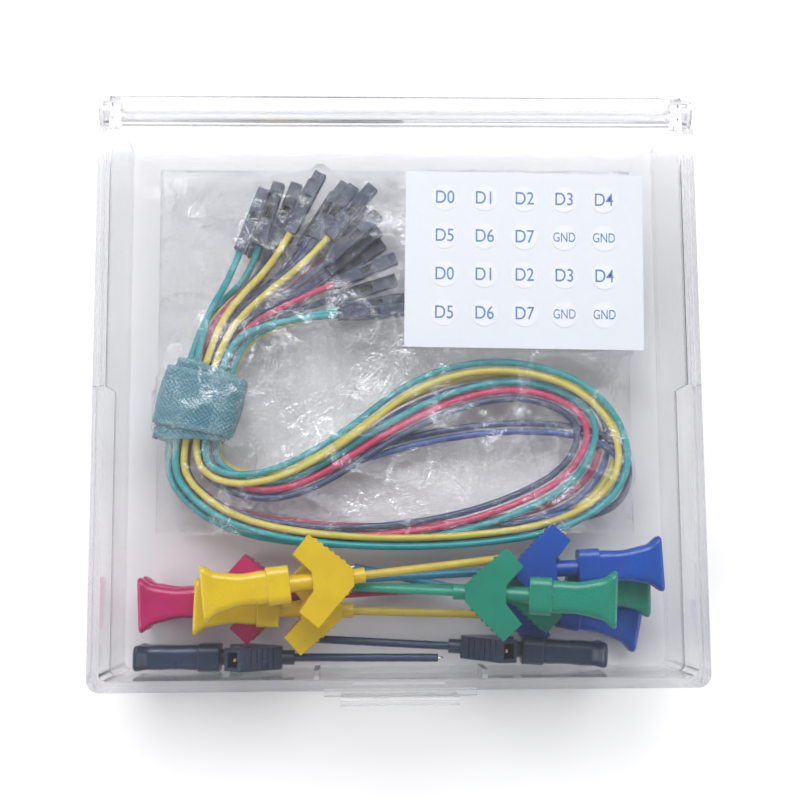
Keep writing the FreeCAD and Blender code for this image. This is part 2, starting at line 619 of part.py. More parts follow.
section = math.pi * (size("lead_d") / 2) ** 2
for row, names in enumerate(ROWS):
    level = size("row_z") + row * size("row_step")
    fan_level = size("fan_z") + row * size("fan_step")
    half = size("pitch") / 2
    base = [MIDDLE + ALONG * REACH - ACROSS * half, MIDDLE - ALONG * REACH - ACROSS * half]
    base += [Vector(x, y, 0) for x, y in LOOPS[row]]
    base += [MIDDLE - ALONG * REACH + ACROSS * half, MIDDLE + ALONG * REACH + ACROSS * half]
    count = len(names)
    for nest, name in enumerate(names):
        outward = (count - 1 - nest) * size("pitch")
        loop = [Vector(q.x, q.y, level) for q in miter_offset(base, outward)]
        ends = []
        for slot, top in ((nest, loop[0]), (2 * count - 1 - nest, loop[-1])):
            angle, distance, twist = FANS[row][slot]
            heading = math.radians(angle + twist)
            way = Vector(math.cos(heading), math.sin(heading), 0)
            spot = MIDDLE + ALONG * REACH
            spot += Vector(math.cos(math.radians(angle)), math.sin(math.radians(angle)), 0) * distance
            rear = Vector(spot.x, spot.y, fan_level)
            lead_in = rear - way * 7.0
            reach = lead_in - loop_end(loop, slot == nest)
            bow = Vector(-reach.y, reach.x, 0).normalize() * 1.3
            middle = loop_end(loop, slot == nest) + reach * 0.42 + bow
            middle.z = (level + fan_level) / 2
            ends.append((rear, lead_in, middle))
            seat = Placement(rear, Rotation(Vector(0, 0, 1), angle + twist))
            housings.append(copy_of("%s_house_%d" % (name, slot), [house_master], seat))
            contacts.append(copy_of("%s_crimp_%d" % (name, slot), [contact_master], seat))
        points = list(ends[0]) + loop + list(reversed(ends[1]))
        tube, length, tightest = tube_along(points, size("lead_d") / 2)
        share = tube.Volume / (section * length)
        print("lead", name, "length %.1f" % length, "tightest radius %.2f" % tightest,
              "volume over section times length %.4f" % share)
        node(shape_node(name + "_tube", tube), name)
node(copy_of("housing_group", housings, Placement()), "lead_housings")
node(copy_of("contact_group", contacts, Placement()), "metal_contacts")

# ------------------------------------------------------------------ the strap
# Built standing along Z about the bundle, then laid down in the bundle's direction.
bundle_mid = "(row_z + 1.5 * row_step)"
half_high = "(1.5 * row_step + lead_d / 2 + 0.35)"
inner_ring = cut(
    "strap_inner_ring",
    rounded_box("strap_inner_out", "strap_half + strap_t", half_high + " + strap_t",
                "-strap_len / 2", "strap_len", "2.4"),
    [rounded_box("strap_hollow", "strap_half", half_high, "-strap_len", "2 * strap_len", "1.2")],
)
outer_ring = cut(
    "strap_outer_ring",
    rounded_box("strap_outer_out", "strap_half + 2 * strap_t", half_high + " + 1.75 * strap_t",
                "-strap_outer / 2", "strap_outer", "3.2"),
    [rounded_box("strap_outer_hollow", "strap_half + strap_t / 2", half_high + " + strap_t / 2",
                 "-strap_len", "2 * strap_len", "1.8")],
)
tail = box("strap_tail", "strap_half + 2 * strap_t - 0.6", "-(%s) + 1.0" % half_high,
           "-strap_outer / 2 + 0.4", 2.2, "strap_t", "strap_outer - 1.2")
strap_master = fuse("strap_master", [inner_ring, outer_ring, tail])
strap_mid = size("row_z") + 1.5 * size("row_step")
lay = Rotation(Vector(ACROSS.x, ACROSS.y, 0), Vector(0, 0, -1), Vector(ALONG.x, ALONG.y, 0), "XYZ")
node(copy_of("strap_laid", [strap_master], Placement(Vector(MIDDLE.x, MIDDLE.y, strap_mid), lay)), "strap")

# ------------------------------------------------------------------ bag and label sheet
# The bag's film in profile: under the leads, up behind the housings, forward over them.
BACK = "(case_d / 2 - 7)"
MOUTH = "(-case_d / 2 + 28.6)"
film_profile = [
    (MOUTH, "floor_t + 0.1"),
    (BACK, "floor_t + 0.1"),
    (BACK, "bag_top"),
    ("-4", "bag_top"),
    (MOUTH, "bag_low"),
    (MOUTH, "bag_low - film"),
    ("-4", "bag_top - film"),
    ("%s - film" % BACK, "bag_top - film"),
    ("%s - film" % BACK, "floor_t + 0.1 + film"),
    (MOUTH, "floor_t + 0.1 + film"),
]
bag_master = prism("bag_master", film_profile, "-bag_w / 2", "bag_w")
stand = Rotation(Vector(0, 1, 0), Vector(0, 0, 1), Vector(1, 0, 0), "XYZ")
node(copy_of("bag_laid", [bag_master], Placement(Vector(0, 0, 0), stand)), "poly_bag")

label_turn = Rotation(Vector(0, 0, 1), -1.0)
label_at = Vector(RIGHT - 31.4, size("case_d") / 2 - 29.9, size("bag_top") + 0.1)
paper = box("label_paper", "-label_w / 2", "-label_d / 2", 0, "label_w", "label_d", "label_t")
node(copy_of("label_laid", [paper], Placement(label_at, label_turn)), "label_sheet")
dots = []
for line in range(4):
    for column in range(5):
        dots.append(
            rod("dot_%d_%d" % (line, column), "(%d - 2) * dot_dx" % column,
                "(1.5 - %d) * dot_dy + 0.8" % line, "label_t", "dot_r", "dot_t")
        )
node(copy_of("label_dots_laid", dots, Placement(label_at, label_turn)), "label_stickers")

# ------------------------------------------------------------------ check and write
doc.recompute()
for obj in doc.Objects:
    if "Invalid" in obj.State or "Error" in obj.State:
        raise RuntimeError("%s did not build: %s" % (obj.Name, obj.State))
os.makedirs("parts", exist_ok=True)
total = 0
for label, obj in NODES:
    shape = obj.Shape
    if shape.isNull() or not shape.isValid():
        raise RuntimeError("%s has no valid shape" % label)
    if not shape.Solids:
        raise RuntimeError("%s has no solid" % label)
    shape.exportStep(os.path.join("parts", label + ".step"))
    total += 1
print("pieces written:", total)
whole = Part.makeCompound([obj.Shape for label, obj in NODES]).BoundBox
print("extent x %.2f %.2f y %.2f %.2f z %.2f %.2f"
      % (whole.XMin, whole.XMax, whole.YMin, whole.YMax, whole.ZMin, whole.ZMax))
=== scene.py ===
# %% [markdown]
# # Jumper leads and hook clips in a clear case
# A flat clear box holds what a logic analyzer is wired up with: ten soft jumper leads in a bundle,
# ten spring hook clips in five colours, and a sheet of round channel stickers. The hard parts come
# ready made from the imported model. This lesson gives them their finishes, and adds the pieces that
# are soft or printed. Everything is in metres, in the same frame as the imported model.

import bpy
import bmesh
import math
import numpy as np
from mathutils import Matrix, Vector, noise


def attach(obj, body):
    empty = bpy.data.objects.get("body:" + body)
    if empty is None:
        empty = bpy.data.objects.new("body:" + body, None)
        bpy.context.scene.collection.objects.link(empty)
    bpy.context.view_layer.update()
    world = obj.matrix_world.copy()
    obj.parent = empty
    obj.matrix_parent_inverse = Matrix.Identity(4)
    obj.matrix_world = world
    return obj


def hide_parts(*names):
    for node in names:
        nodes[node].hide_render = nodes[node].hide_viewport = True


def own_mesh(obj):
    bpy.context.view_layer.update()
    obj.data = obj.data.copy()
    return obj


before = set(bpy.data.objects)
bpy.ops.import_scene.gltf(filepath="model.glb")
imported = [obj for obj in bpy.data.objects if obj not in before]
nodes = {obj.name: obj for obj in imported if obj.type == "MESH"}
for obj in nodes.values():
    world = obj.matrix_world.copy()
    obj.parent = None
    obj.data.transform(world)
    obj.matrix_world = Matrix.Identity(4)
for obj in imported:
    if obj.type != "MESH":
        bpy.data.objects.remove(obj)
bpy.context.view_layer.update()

# %% [markdown]
# ## Camera
# The case is looked at from almost straight above, a little from the front. Three directions say how
# a camera stands: where it looks, what is right and what is up. Writing them down as the columns of
# a matrix is exact, while three Euler angles have to be tried out.

# %% Camera
CAMERA_AT = Vector((-0.00729, -0.03189, 0.27025))
TILT, TURN, ROLL = 0.1185, 0.0307, -0.0064
look = Vector((math.sin(TURN), math.sin(TILT) * math.cos(TURN), -math.cos(TILT) * math.cos(TURN)))
right = look.cross(Vector((0, 1, 0))).normalized()
up = right.cross(look)
right, up = right * math.cos(ROLL) + up * math.sin(ROLL), up * math.cos(ROLL) - right * math.sin(ROLL)
camera = bpy.data.objects.new("camera", bpy.data.cameras.new("camera"))
bpy.context.scene.collection.objects.link(camera)
camera.matrix_world = Matrix.Translation(CAMERA_AT) @ Matrix((right, up, -look)).transposed().to_4x4()
camera.data.lens = 57.79
camera.data.sensor_width = 36
camera.data.clip_start, camera.data.clip_end = 0.01, 10
bpy.context.scene.camera = camera
bpy.context.scene.view_settings.view_transform = "Standard"
print("camera at", [round(v, 4) for v in CAMERA_AT])

# %% [markdown]
# ## Finishes, part one: the shared effects
# Moulded plastic is never one flat colour: the melt flows unevenly, the mould leaves a fine skin, and
# handling polishes some places. One node group makes that effect for every plastic here, and each
# material gives it its own numbers. It hands back a colour, a roughness and a height.


# %% Shared effect: moulded skin
def new_group(name, inputs, outputs):
    """A shader node group with its sockets, and its two end nodes."""
    group = bpy.data.node_groups.new(name, "ShaderNodeTree")
    for label, kind, value in inputs:
        socket = group.interface.new_socket(name=label, in_out="INPUT", socket_type="NodeSocket" + kind)
        if value is not None:
            socket.default_value = value
    for label, kind in outputs:
        group.interface.new_socket(name=label, in_out="OUTPUT", socket_type="NodeSocket" + kind)
    return group, group.nodes.new("NodeGroupInput"), group.nodes.new("NodeGroupOutput")


def noise_node(tree, vector, scale, detail=3.0, roughness=0.5):
    """A Noise Texture on a vector; scale is a number or a socket."""
    n = tree.nodes.new("ShaderNodeTexNoise")
    n.inputs["Detail"].default_value = detail
    n.inputs["Roughness"].default_value = roughness
    tree.links.new(vector, n.inputs["Vector"])
    if isinstance(scale, (int, float)):
        n.inputs["Scale"].default_value = scale
    else:
        tree.links.new(scale, n.inputs["Scale"])
    return n.outputs["Fac"]


def math_node(tree, operation, a, b=None, c=None, clamp=False):
    """A Math node; each value is a number or a socket."""
    n = tree.nodes.new("ShaderNodeMath")
    n.operation = operation
    n.use_clamp = clamp
    for k, value in enumerate((a, b, c)):
        if isinstance(value, (int, float)):
            n.inputs[k].default_value = value
        elif value is not None:
            tree.links.new(value, n.inputs[k])
    return n.outputs["Value"]


def mix_colour(tree, factor, a, b):
    """A colour mix; each side is a colour or a socket."""
    n = tree.nodes.new("ShaderNodeMix")
    n.data_type = "RGBA"
    for socket, value in ((n.inputs["Factor"], factor), (n.inputs[6], a), (n.inputs[7], b)):
        if isinstance(value, (int, float, tuple)):
            socket.default_value = value
        else:
            tree.links.new(value, socket)
    return n.outputs[2]


moulded_skin, g_in, g_out = new_group(
    "moulded skin",
    [("Vector", "Vector", None), ("Colour", "Color", (0.5, 0.5, 0.5, 1)),
     ("Shade", "Color", (0.4, 0.4, 0.4, 1)), ("Flow Scale", "Float", 120.0),
     ("Grain Scale", "Float", 2500.0), ("Roughness", "Float", 0.35), ("Rubbed", "Float", 0.12)],
    [("Colour", "Color"), ("Roughness", "Float"), ("Height", "Float")],
)
flow = noise_node(moulded_skin, g_in.outputs["Vector"], g_in.outputs["Flow Scale"], 4.0, 0.6)
grain = noise_node(moulded_skin, g_in.outputs["Vector"], g_in.outputs["Grain Scale"], 2.0, 0.6)
flow_mask = math_node(moulded_skin, "MULTIPLY_ADD", flow, 2.6, -0.8, clamp=True)
shaded = mix_colour(moulded_skin, flow_mask, g_in.outputs["Colour"], g_in.outputs["Shade"])
moulded_skin.links.new(shaded, g_out.inputs["Colour"])
uneven = math_node(moulded_skin, "SUBTRACT", flow, 0.5)
rubbed = math_node(moulded_skin, "MULTIPLY_ADD", uneven, g_in.outputs["Rubbed"], g_in.outputs["Roughness"])
fine = math_node(moulded_skin, "MULTIPLY_ADD", grain, 0.06, rubbed, clamp=True)
moulded_skin.links.new(fine, g_out.inputs["Roughness"])
skin_height = math_node(moulded_skin, "MULTIPLY_ADD", flow, 0.6,
                        math_node(moulded_skin, "MULTIPLY", grain, 0.4))
moulded_skin.links.new(skin_height, g_out.inputs["Height"])
print("group:", moulded_skin.name, "nodes:", len(moulded_skin.nodes))


# %% A plain helper for materials
def new_material(name):
    """An empty material with an output, a Principled BSDF and Object coordinates."""
    made = bpy.data.materials.new(name)
    made.use_nodes = True
    made.node_tree.nodes.clear()
    tree = made.node_tree
    out = tree.nodes.new("ShaderNodeOutputMaterial")
    shader = tree.nodes.new("ShaderNodeBsdfPrincipled")
    tree.links.new(shader.outputs["BSDF"], out.inputs["Surface"])
    coordinates = tree.nodes.new("ShaderNodeTexCoord")
    return made, tree, shader, out, coordinates


def use_group(tree, group, **values):
    """Places a group; a value is a number, a colour or a socket."""
    n = tree.nodes.new("ShaderNodeGroup")
    n.node_tree = group
    for label, value in values.items():
        socket = n.inputs[label.replace("_", " ")]
        if isinstance(value, bpy.types.NodeSocket):
            tree.links.new(value, socket)
        else:
            socket.default_value = value
    return n


def bump(tree, shader, height, strength, distance):
    """Feeds a height to the shader's normal."""
    n = tree.nodes.new("ShaderNodeBump")
    n.inputs["Strength"].default_value = strength
    n.inputs["Distance"].default_value = distance
    tree.links.new(height, n.inputs["Height"])
    tree.links.new(n.outputs["Normal"], shader.inputs["Normal"])
    return n


def moulded(name, colour, shade, roughness, grain=0.00002, flow_scale=120.0, rubbed=0.12):
    """A moulded plastic: the shared skin with its own numbers."""
    made, tree, shader, out, coordinates = new_material(name)
    skin = use_group(tree, moulded_skin, Vector=coordinates.outputs["Object"], Colour=(*colour, 1),
                     Shade=(*shade, 1), Flow_Scale=flow_scale, Roughness=roughness, Rubbed=rubbed)
    tree.links.new(skin.outputs["Colour"], shader.inputs["Base Color"])
    tree.links.new(skin.outputs["Roughness"], shader.inputs["Roughness"])
    bump(tree, shader, skin.outputs["Height"], 0.5, grain)
    return made


# %% A plain helper for meshes
def object_from(bm, name, *materials):
    """A linked object made from a finished bmesh, which is then freed."""
    mesh = bpy.data.meshes.new(name)
    bm.to_mesh(mesh)
    bm.free()
    for made in materials:
        mesh.materials.append(made)
    piece = bpy.data.objects.new(name, mesh)
    bpy.context.scene.collection.objects.link(piece)
    return piece


# %% [markdown]
# ## The leads
# A jumper lead is a bundle of fine copper strands in soft PVC, 1.4 mm thick and about 300 mm long.
# Each is folded in half, and both halves pass the strap side by side. A curve with a round bevel is
# the natural way to make one: its control points are the lead's route, and the spline rounds them.

# %% The leads' routes
LEAD_D = 0.0014
ROUTES = {
    "yellow_a": [
        (-0.03, 0.0299, 0.00315), (-0.0318, 0.0232, 0.00315), (-0.0381, 0.0176, 0.00412),
        (-0.041, 0.0122, 0.0051), (-0.0473, -0.012, 0.0051), (-0.0448, -0.0205, 0.0051),
        (-0.0332, -0.0276, 0.0051), (-0.0122, -0.0301, 0.0051), (0.0123, -0.0297, 0.0051),
        (0.0335, -0.0265, 0.0051), (0.0454, -0.0167, 0.0051), (0.0461, -0.0027, 0.0051),
        (0.0357, 0.0042, 0.0051), (0.0207, 0.0055, 0.0051), (0.0035, 0.0012, 0.0051),
        (-0.0109, -0.0085, 0.0051), (-0.022, -0.0152, 0.0051), (-0.0328, -0.0157, 0.0051),
        (-0.038, -0.0111, 0.0051), (-0.0326, 0.01, 0.0051), (-0.0276, 0.0142, 0.00412),
        (-0.0193, 0.0172, 0.00315), (-0.0124, 0.0186, 0.00315),
    ],
    "blue_a": [
        (-0.0253, 0.031, 0.00315), (-0.028, 0.0246, 0.00315), (-0.0356, 0.018, 0.00412),
        (-0.0393, 0.0118, 0.0051), (-0.0455, -0.0119, 0.0051), (-0.0433, -0.0193, 0.0051),
        (-0.0326, -0.0259, 0.0051), (-0.0121, -0.0284, 0.0051), (0.0121, -0.0279, 0.0051),
        (0.0327, -0.0249, 0.0051), (0.0437, -0.0159, 0.0051), (0.0443, -0.0036, 0.0051),
        (0.0351, 0.0025, 0.0051), (0.0209, 0.0038, 0.0051), (0.0043, -0.0004, 0.0051),
        (-0.0099, -0.01, 0.0051), (-0.0215, -0.0169, 0.0051), (-0.0334, -0.0175, 0.0051),
        (-0.04, -0.0117, 0.0051), (-0.0343, 0.0105, 0.0051), (-0.0287, 0.0159, 0.00412),
        (-0.0193, 0.0209, 0.00315), (-0.0137, 0.025, 0.00315),
    ],
    "red_a": [
        (-0.0198, 0.0321, 0.00315), (-0.0235, 0.0262, 0.00315), (-0.0326, 0.0185, 0.00412),
        (-0.0376, 0.0113, 0.0051), (-0.0437, -0.0119, 0.0051), (-0.0418, -0.0182, 0.0051),
        (-0.032, -0.0242, 0.0051), (-0.012, -0.0266, 0.0051), (0.012, -0.0262, 0.0051),
        (0.032, -0.0232, 0.0051), (0.042, -0.015, 0.0051), (0.0425, -0.0045, 0.0051),
        (0.0345, 0.0008, 0.0051), (0.021, 0.002, 0.0051), (0.005, -0.002, 0.0051),
        (-0.009, -0.0115, 0.0051), (-0.021, -0.0186, 0.0051), (-0.034, -0.0193, 0.0051),
        (-0.042, -0.0123, 0.0051), (-0.0359, 0.0109, 0.0051), (-0.03, 0.0178, 0.00412),
        (-0.0197, 0.025, 0.00315), (-0.0149, 0.0301, 0.00315),
    ],
    "black_a": [
        (-0.0255, 0.0323, 0.0059), (-0.028, 0.0258, 0.0059), (-0.0356, 0.0185, 0.00635),
        (-0.0393, 0.0118, 0.0068), (-0.0455, -0.012, 0.0068), (-0.0427, -0.0199, 0.0068),
        (-0.0311, -0.0277, 0.0068), (-0.0101, -0.03, 0.0068), (0.0142, -0.0289, 0.0068),
        (0.0344, -0.0262, 0.0068), (0.0477, -0.0223, 0.0068), (0.0483, -0.0092, 0.0068),
        (0.0311, -0.0048, 0.0068), (0.0077, -0.0067, 0.0068), (-0.0136, -0.0132, 0.0068),
        (-0.0253, -0.0182, 0.0068), (-0.0344, -0.0177, 0.0068), (-0.04, -0.0118, 0.0068),
        (-0.0343, 0.0105, 0.0068), (-0.0288, 0.015, 0.00635), (-0.0198, 0.0186, 0.0059),
        (-0.0132, 0.0207, 0.0059),
    ],
    "blue_b": [
        (-0.0178, 0.0337, 0.0059), (-0.0216, 0.0278, 0.0059), (-0.0319, 0.0192, 0.00635),
        (-0.0376, 0.0113, 0.0068), (-0.0437, -0.0119, 0.0068), (-0.0412, -0.0188, 0.0068),
        (-0.0305, -0.026, 0.0068), (-0.01, -0.0282, 0.0068), (0.014, -0.0272, 0.0068),
        (0.034, -0.0245, 0.0068), (0.046, -0.021, 0.0068), (0.0465, -0.0105, 0.0068),
        (0.031, -0.0066, 0.0068), (0.008, -0.0084, 0.0068), (-0.013, -0.0148, 0.0068),
        (-0.025, -0.02, 0.0068), (-0.0352, -0.0194, 0.0068), (-0.042, -0.0123, 0.0068),
        (-0.0359, 0.0109, 0.0068), (-0.0297, 0.0166, 0.00635), (-0.0194, 0.022, 0.0059),
        (-0.014, 0.0265, 0.0059),
    ],
    "green_a": [
        (-0.0282, 0.0314, 0.00865), (-0.0302, 0.0247, 0.00865), (-0.0375, 0.0183, 0.00857),
        (-0.041, 0.0122, 0.0085), (-0.0473, -0.0121, 0.0085), (-0.0444, -0.0202, 0.0085),
        (-0.0344, -0.0275, 0.0085), (-0.0142, -0.0307, 0.0085), (0.0066, -0.0293, 0.0085),
        (0.0233, -0.0249, 0.0085), (0.0378, -0.0175, 0.0085), (0.0428, -0.0038, 0.0085),
        (0.0287, 0.0036, 0.0085), (0.013, 0.0019, 0.0085), (-0.0038, -0.0065, 0.0085),
        (-0.0165, -0.015, 0.0085), (-0.0256, -0.0178, 0.0085), (-0.0334, -0.016, 0.0085),
        (-0.0381, -0.0113, 0.0085), (-0.0326, 0.01, 0.0085), (-0.027, 0.0141, 0.00857),
        (-0.0181, 0.0169, 0.00865), (-0.0112, 0.018, 0.00865),
    ],
    "red_b": [
        (-0.0229, 0.0325, 0.00865), (-0.026, 0.0262, 0.00865), (-0.0347, 0.0187, 0.00857),
        (-0.0393, 0.0118, 0.0085), (-0.0455, -0.012, 0.0085), (-0.043, -0.0191, 0.0085),
        (-0.0337, -0.0259, 0.0085), (-0.0141, -0.029, 0.0085), (0.0063, -0.0275, 0.0085),
        (0.0226, -0.0232, 0.0085), (0.0364, -0.0162, 0.0085), (0.0407, -0.0047, 0.0085),
        (0.0283, 0.0018, 0.0085), (0.0135, 0.0002, 0.0085), (-0.0029, -0.008, 0.0085),
        (-0.0158, -0.0166, 0.0085), (-0.0256, -0.0196, 0.0085), (-0.0343, -0.0176, 0.0085),
        (-0.04, -0.0118, 0.0085), (-0.0343, 0.0105, 0.0085), (-0.0287, 0.0158, 0.00857),
        (-0.0192, 0.0206, 0.00865), (-0.0127, 0.0234, 0.00865),
    ],
    "black_b": [
        (-0.0167, 0.0327, 0.00865), (-0.0208, 0.027, 0.00865), (-0.0315, 0.0189, 0.00857),
        (-0.0376, 0.0113, 0.0085), (-0.0437, -0.0119, 0.0085), (-0.0415, -0.018, 0.0085),
        (-0.033, -0.0242, 0.0085), (-0.014, -0.0272, 0.0085), (0.006, -0.0258, 0.0085),
        (0.022, -0.0216, 0.0085), (0.035, -0.015, 0.0085), (0.0385, -0.0055, 0.0085), (0.028, 0, 0.0085),
        (0.014, -0.0015, 0.0085), (-0.002, -0.0095, 0.0085), (-0.015, -0.0182, 0.0085),
        (-0.0255, -0.0214, 0.0085), (-0.0352, -0.0192, 0.0085), (-0.042, -0.0123, 0.0085),
        (-0.0359, 0.0109, 0.0085), (-0.0295, 0.0174, 0.00857), (-0.0188, 0.0238, 0.00865),
        (-0.0136, 0.0286, 0.00865),
    ],
    "green_b": [
        (-0.0319, 0.0295, 0.0114), (-0.0344, 0.0229, 0.0114), (-0.0384, 0.017, 0.0108),
        (-0.0393, 0.0118, 0.0102), (-0.0455, -0.012, 0.0102), (-0.043, -0.0196, 0.0102),
        (-0.0322, -0.0271, 0.0102), (-0.0122, -0.0305, 0.0102), (0.0121, -0.0308, 0.0102),
        (0.0347, -0.0277, 0.0102), (0.0473, -0.0184, 0.0102), (0.0467, -0.0057, 0.0102),
        (0.0369, 0.0041, 0.0102), (0.02, 0.0078, 0.0102), (0.0032, 0.0036, 0.0102),
        (-0.011, -0.008, 0.0102), (-0.0245, -0.0155, 0.0102), (-0.035, -0.0164, 0.0102),
        (-0.04, -0.0118, 0.0102), (-0.0343, 0.0105, 0.0102), (-0.0282, 0.014, 0.0108),
        (-0.0188, 0.0159, 0.0114), (-0.0119, 0.0164, 0.0114),
    ],
    "yellow_b": [
        (-0.0217, 0.0335, 0.0114), (-0.0249, 0.0273, 0.0114), (-0.0333, 0.0188, 0.0108),
        (-0.0376, 0.0113, 0.0102), (-0.0437, -0.0119, 0.0102), (-0.0415, -0.0185, 0.0102),
        (-0.0315, -0.0254, 0.0102), (-0.012, -0.0288, 0.0102), (0.012, -0.029, 0.0102),
        (0.034, -0.026, 0.0102), (0.0455, -0.0175, 0.0102), (0.045, -0.0065, 0.0102),
        (0.036, 0.0025, 0.0102), (0.02, 0.006, 0.0102), (0.004, 0.002, 0.0102), (-0.01, -0.0095, 0.0102),
        (-0.024, -0.0172, 0.0102), (-0.0356, -0.0182, 0.0102), (-0.042, -0.0123, 0.0102),
        (-0.0359, 0.0109, 0.0102), (-0.0294, 0.0187, 0.0108), (-0.0184, 0.0273, 0.0114),
        (-0.0138, 0.0326, 0.0114),
    ],
}
# Where each housing sits: back end, and direction in degrees.
SEATS = [
    ("yellow_a", -0.02996, 0.02991, 0.00315, 75),
    ("yellow_a", -0.01241, 0.01857, 0.00315, 11),
    ("blue_a", -0.02530, 0.03104, 0.00315, 67),
    ("blue_a", -0.01365, 0.02502, 0.00315, 36),
    ("red_a", -0.01980, 0.03210, 0.00315, 58),
    ("red_a", -0.01491, 0.03014, 0.00315, 47),
    ("black_a", -0.02553, 0.03231, 0.00590, 69),
    ("black_a", -0.01315, 0.02067, 0.00590, 17),
    ("blue_b", -0.01783, 0.03372, 0.00590, 57),
    ("blue_b", -0.01400, 0.02650, 0.00590, 40),
    ("green_a", -0.02820, 0.03137, 0.00865, 73),
    ("green_a", -0.01120, 0.01798, 0.00865, 9),
    ("red_b", -0.02291, 0.03250, 0.00865, 64),
    ("red_b", -0.01274, 0.02338, 0.00865, 23),
    ("black_b", -0.01668, 0.03269, 0.00865, 54),
    ("black_b", -0.01364, 0.02857, 0.00865, 43),
    ("green_b", -0.03188, 0.02947, 0.01140, 69),
    ("green_b", -0.01185, 0.01642, 0.01140, 4),
    ("yellow_b", -0.02170, 0.03350, 0.01140, 63),
    ("yellow_b", -0.01376, 0.03260, 0.01140, 49),
]

# %% Lead insulation
LEAD_COLOURS = {
    "yellow": ((0.68, 0.58, 0.09), (0.58, 0.48, 0.05)),
    "red": ((0.60, 0.025, 0.13), (0.48, 0.015, 0.09)),
    "black": ((0.035, 0.06, 0.15), (0.022, 0.04, 0.10)),
    "green": ((0.004, 0.33, 0.36), (0.003, 0.26, 0.29)),
    "blue": ((0.05, 0.10, 0.34), (0.03, 0.07, 0.25)),
}
insulation = {}
for colour, (main, shade) in LEAD_COLOURS.items():
    insulation[colour] = moulded("insulation_" + colour, main, shade, 0.38, 0.00003, 300.0, 0.2)
print("insulation colours:", sorted(insulation))


# %% Lead curves
def lead_curve(name, points):
    """A round lead along a smooth spline."""
    data = bpy.data.curves.new("lead_wire_" + name, "CURVE")
    data.dimensions = "3D"
    data.bevel_depth = LEAD_D / 2
    data.bevel_resolution = 3
    data.resolution_u = 10
    data.use_fill_caps = True
    spline = data.splines.new("NURBS")
    spline.points.add(len(points) - 1)
    for k, p in enumerate(points):
        spline.points[k].co = (*p, 1)
    spline.order_u = 3
    spline.use_endpoint_u = True
    wire = bpy.data.objects.new("lead_wire_" + name, data)
    bpy.context.scene.collection.objects.link(wire)
    data.materials.append(insulation[name.split("_")[0]])
    return wire


wires = {name: lead_curve(name, points) for name, points in ROUTES.items()}
for name, wire in wires.items():
    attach(wire, "case")
    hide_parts("lead_" + name)
print("leads:", len(wires))

# %% [markdown]
# ## The housings on the leads
# Both ends of a lead sit in a black nylon housing for one pin of a 2.54 mm grid. It is a slim square
# box with rounded edges, a window with a springy tongue that holds the contact, and a square mouth.
# A box is bevelled first, then faces are inset and pushed in, just as one would do it by hand.

# %% One housing, along +X with its back end at the origin
HOUSING, HOUSING_LEN = 0.00254, 0.014
nylon = moulded("black_nylon", (0.012, 0.022, 0.055), (0.024, 0.038, 0.085), 0.27, 0.00003, 260.0, 0.2)
# Painted shade: a near-black, darker than the nylon, for the sunken window floor and the mouth's hole.
recess_painted_shade = moulded("deep_shadow", (0.004, 0.004, 0.005), (0.006, 0.006, 0.007), 0.8)


def face_towards(bm, way, near):
    """The face that looks along way and whose middle is nearest to a point."""
    facing = [f for f in bm.faces if f.normal.dot(Vector(way)) > 0.95]
    return min(facing, key=lambda f: (f.calc_center_median() - Vector(near)).length)


def housing_mesh(name, at, angle):
    """A housing in its place, turned about Z."""
    bm = bmesh.new()
    bmesh.ops.create_cube(bm, size=1.0)
    bmesh.ops.scale(bm, vec=(HOUSING_LEN, HOUSING, HOUSING), verts=bm.verts)
    bmesh.ops.translate(bm, vec=(HOUSING_LEN / 2, 0, 0), verts=bm.verts)
    for x in (0.38, 0.43, 0.61, 0.66):
        bmesh.ops.bisect_plane(bm, geom=bm.verts[:] + bm.edges[:] + bm.faces[:],
                               plane_co=(HOUSING_LEN * x, 0, 0), plane_no=(1, 0, 0))
    for side in (-0.0006, 0.0006):
        bmesh.ops.bisect_plane(bm, geom=bm.verts[:] + bm.edges[:] + bm.faces[:],
                               plane_co=(0, side, 0), plane_no=(0, 1, 0))
    tongue = face_towards(bm, (0, 0, 1), (HOUSING_LEN * 0.52, 0, HOUSING / 2))
    bmesh.ops.inset_individual(bm, faces=[tongue], thickness=0.00012, depth=0)
    bmesh.ops.translate(bm, vec=(0, 0, -0.00035), verts=tongue.verts)
    # The sunken window floor gets the painted shade.
    tongue.material_index = 1
    mouths = [f for f in bm.faces if f.normal.x > 0.95]
    made = bmesh.ops.dissolve_faces(bm, faces=mouths)
    mouth = made["region"][0]
    bmesh.ops.inset_individual(bm, faces=[mouth], thickness=0.00048, depth=0)
    bmesh.ops.translate(bm, vec=(-0.0016, 0, 0), verts=mouth.verts)
    # The mouth's hole gets the painted shade.
    mouth.material_index = 1
    outer = [e for e in bm.edges
             if len(e.link_faces) == 2 and e.calc_face_angle(0) > 1.2
             and all(abs(abs(v.co.y) - HOUSING / 2) < 1e-6 or abs(abs(v.co.z) - HOUSING / 2) < 1e-6
                     for v in e.verts)
             and e.calc_length() > 0.0011]
    bmesh.ops.bevel(bm, geom=outer, offset=0.00016, segments=2, profile=0.5, material=-1,
                    affect="EDGES", clamp_overlap=True)
    bmesh.ops.rotate(bm, cent=(0, 0, 0), matrix=Matrix.Rotation(math.radians(angle), 3, "Z"), verts=bm.verts)
    bmesh.ops.translate(bm, vec=at, verts=bm.verts)
    return object_from(bm, name, nylon, recess_painted_shade)


housings = {}
for name, x, y, z, angle in SEATS:
    ends = housings.setdefault(name, [])
    piece = housing_mesh("housing_%s_%d" % (name, len(ends) + 1), (x, y, z), angle)
    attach(piece, "case")
    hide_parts("lead_housings")
    ends.append(piece)
print("housings:", sum(len(v) for v in housings.values()))

# %% [markdown]
# ## The clear case
# The case is moulded polypropylene: clear, but a little milky, with faint flow marks and fine
# scratches. Real refraction through its walls shows their thickness as bright and dark lines. Lamps
# would not reach the contents through refracting walls, so for shadow rays and scattered light the
# walls let a share of the light straight through.

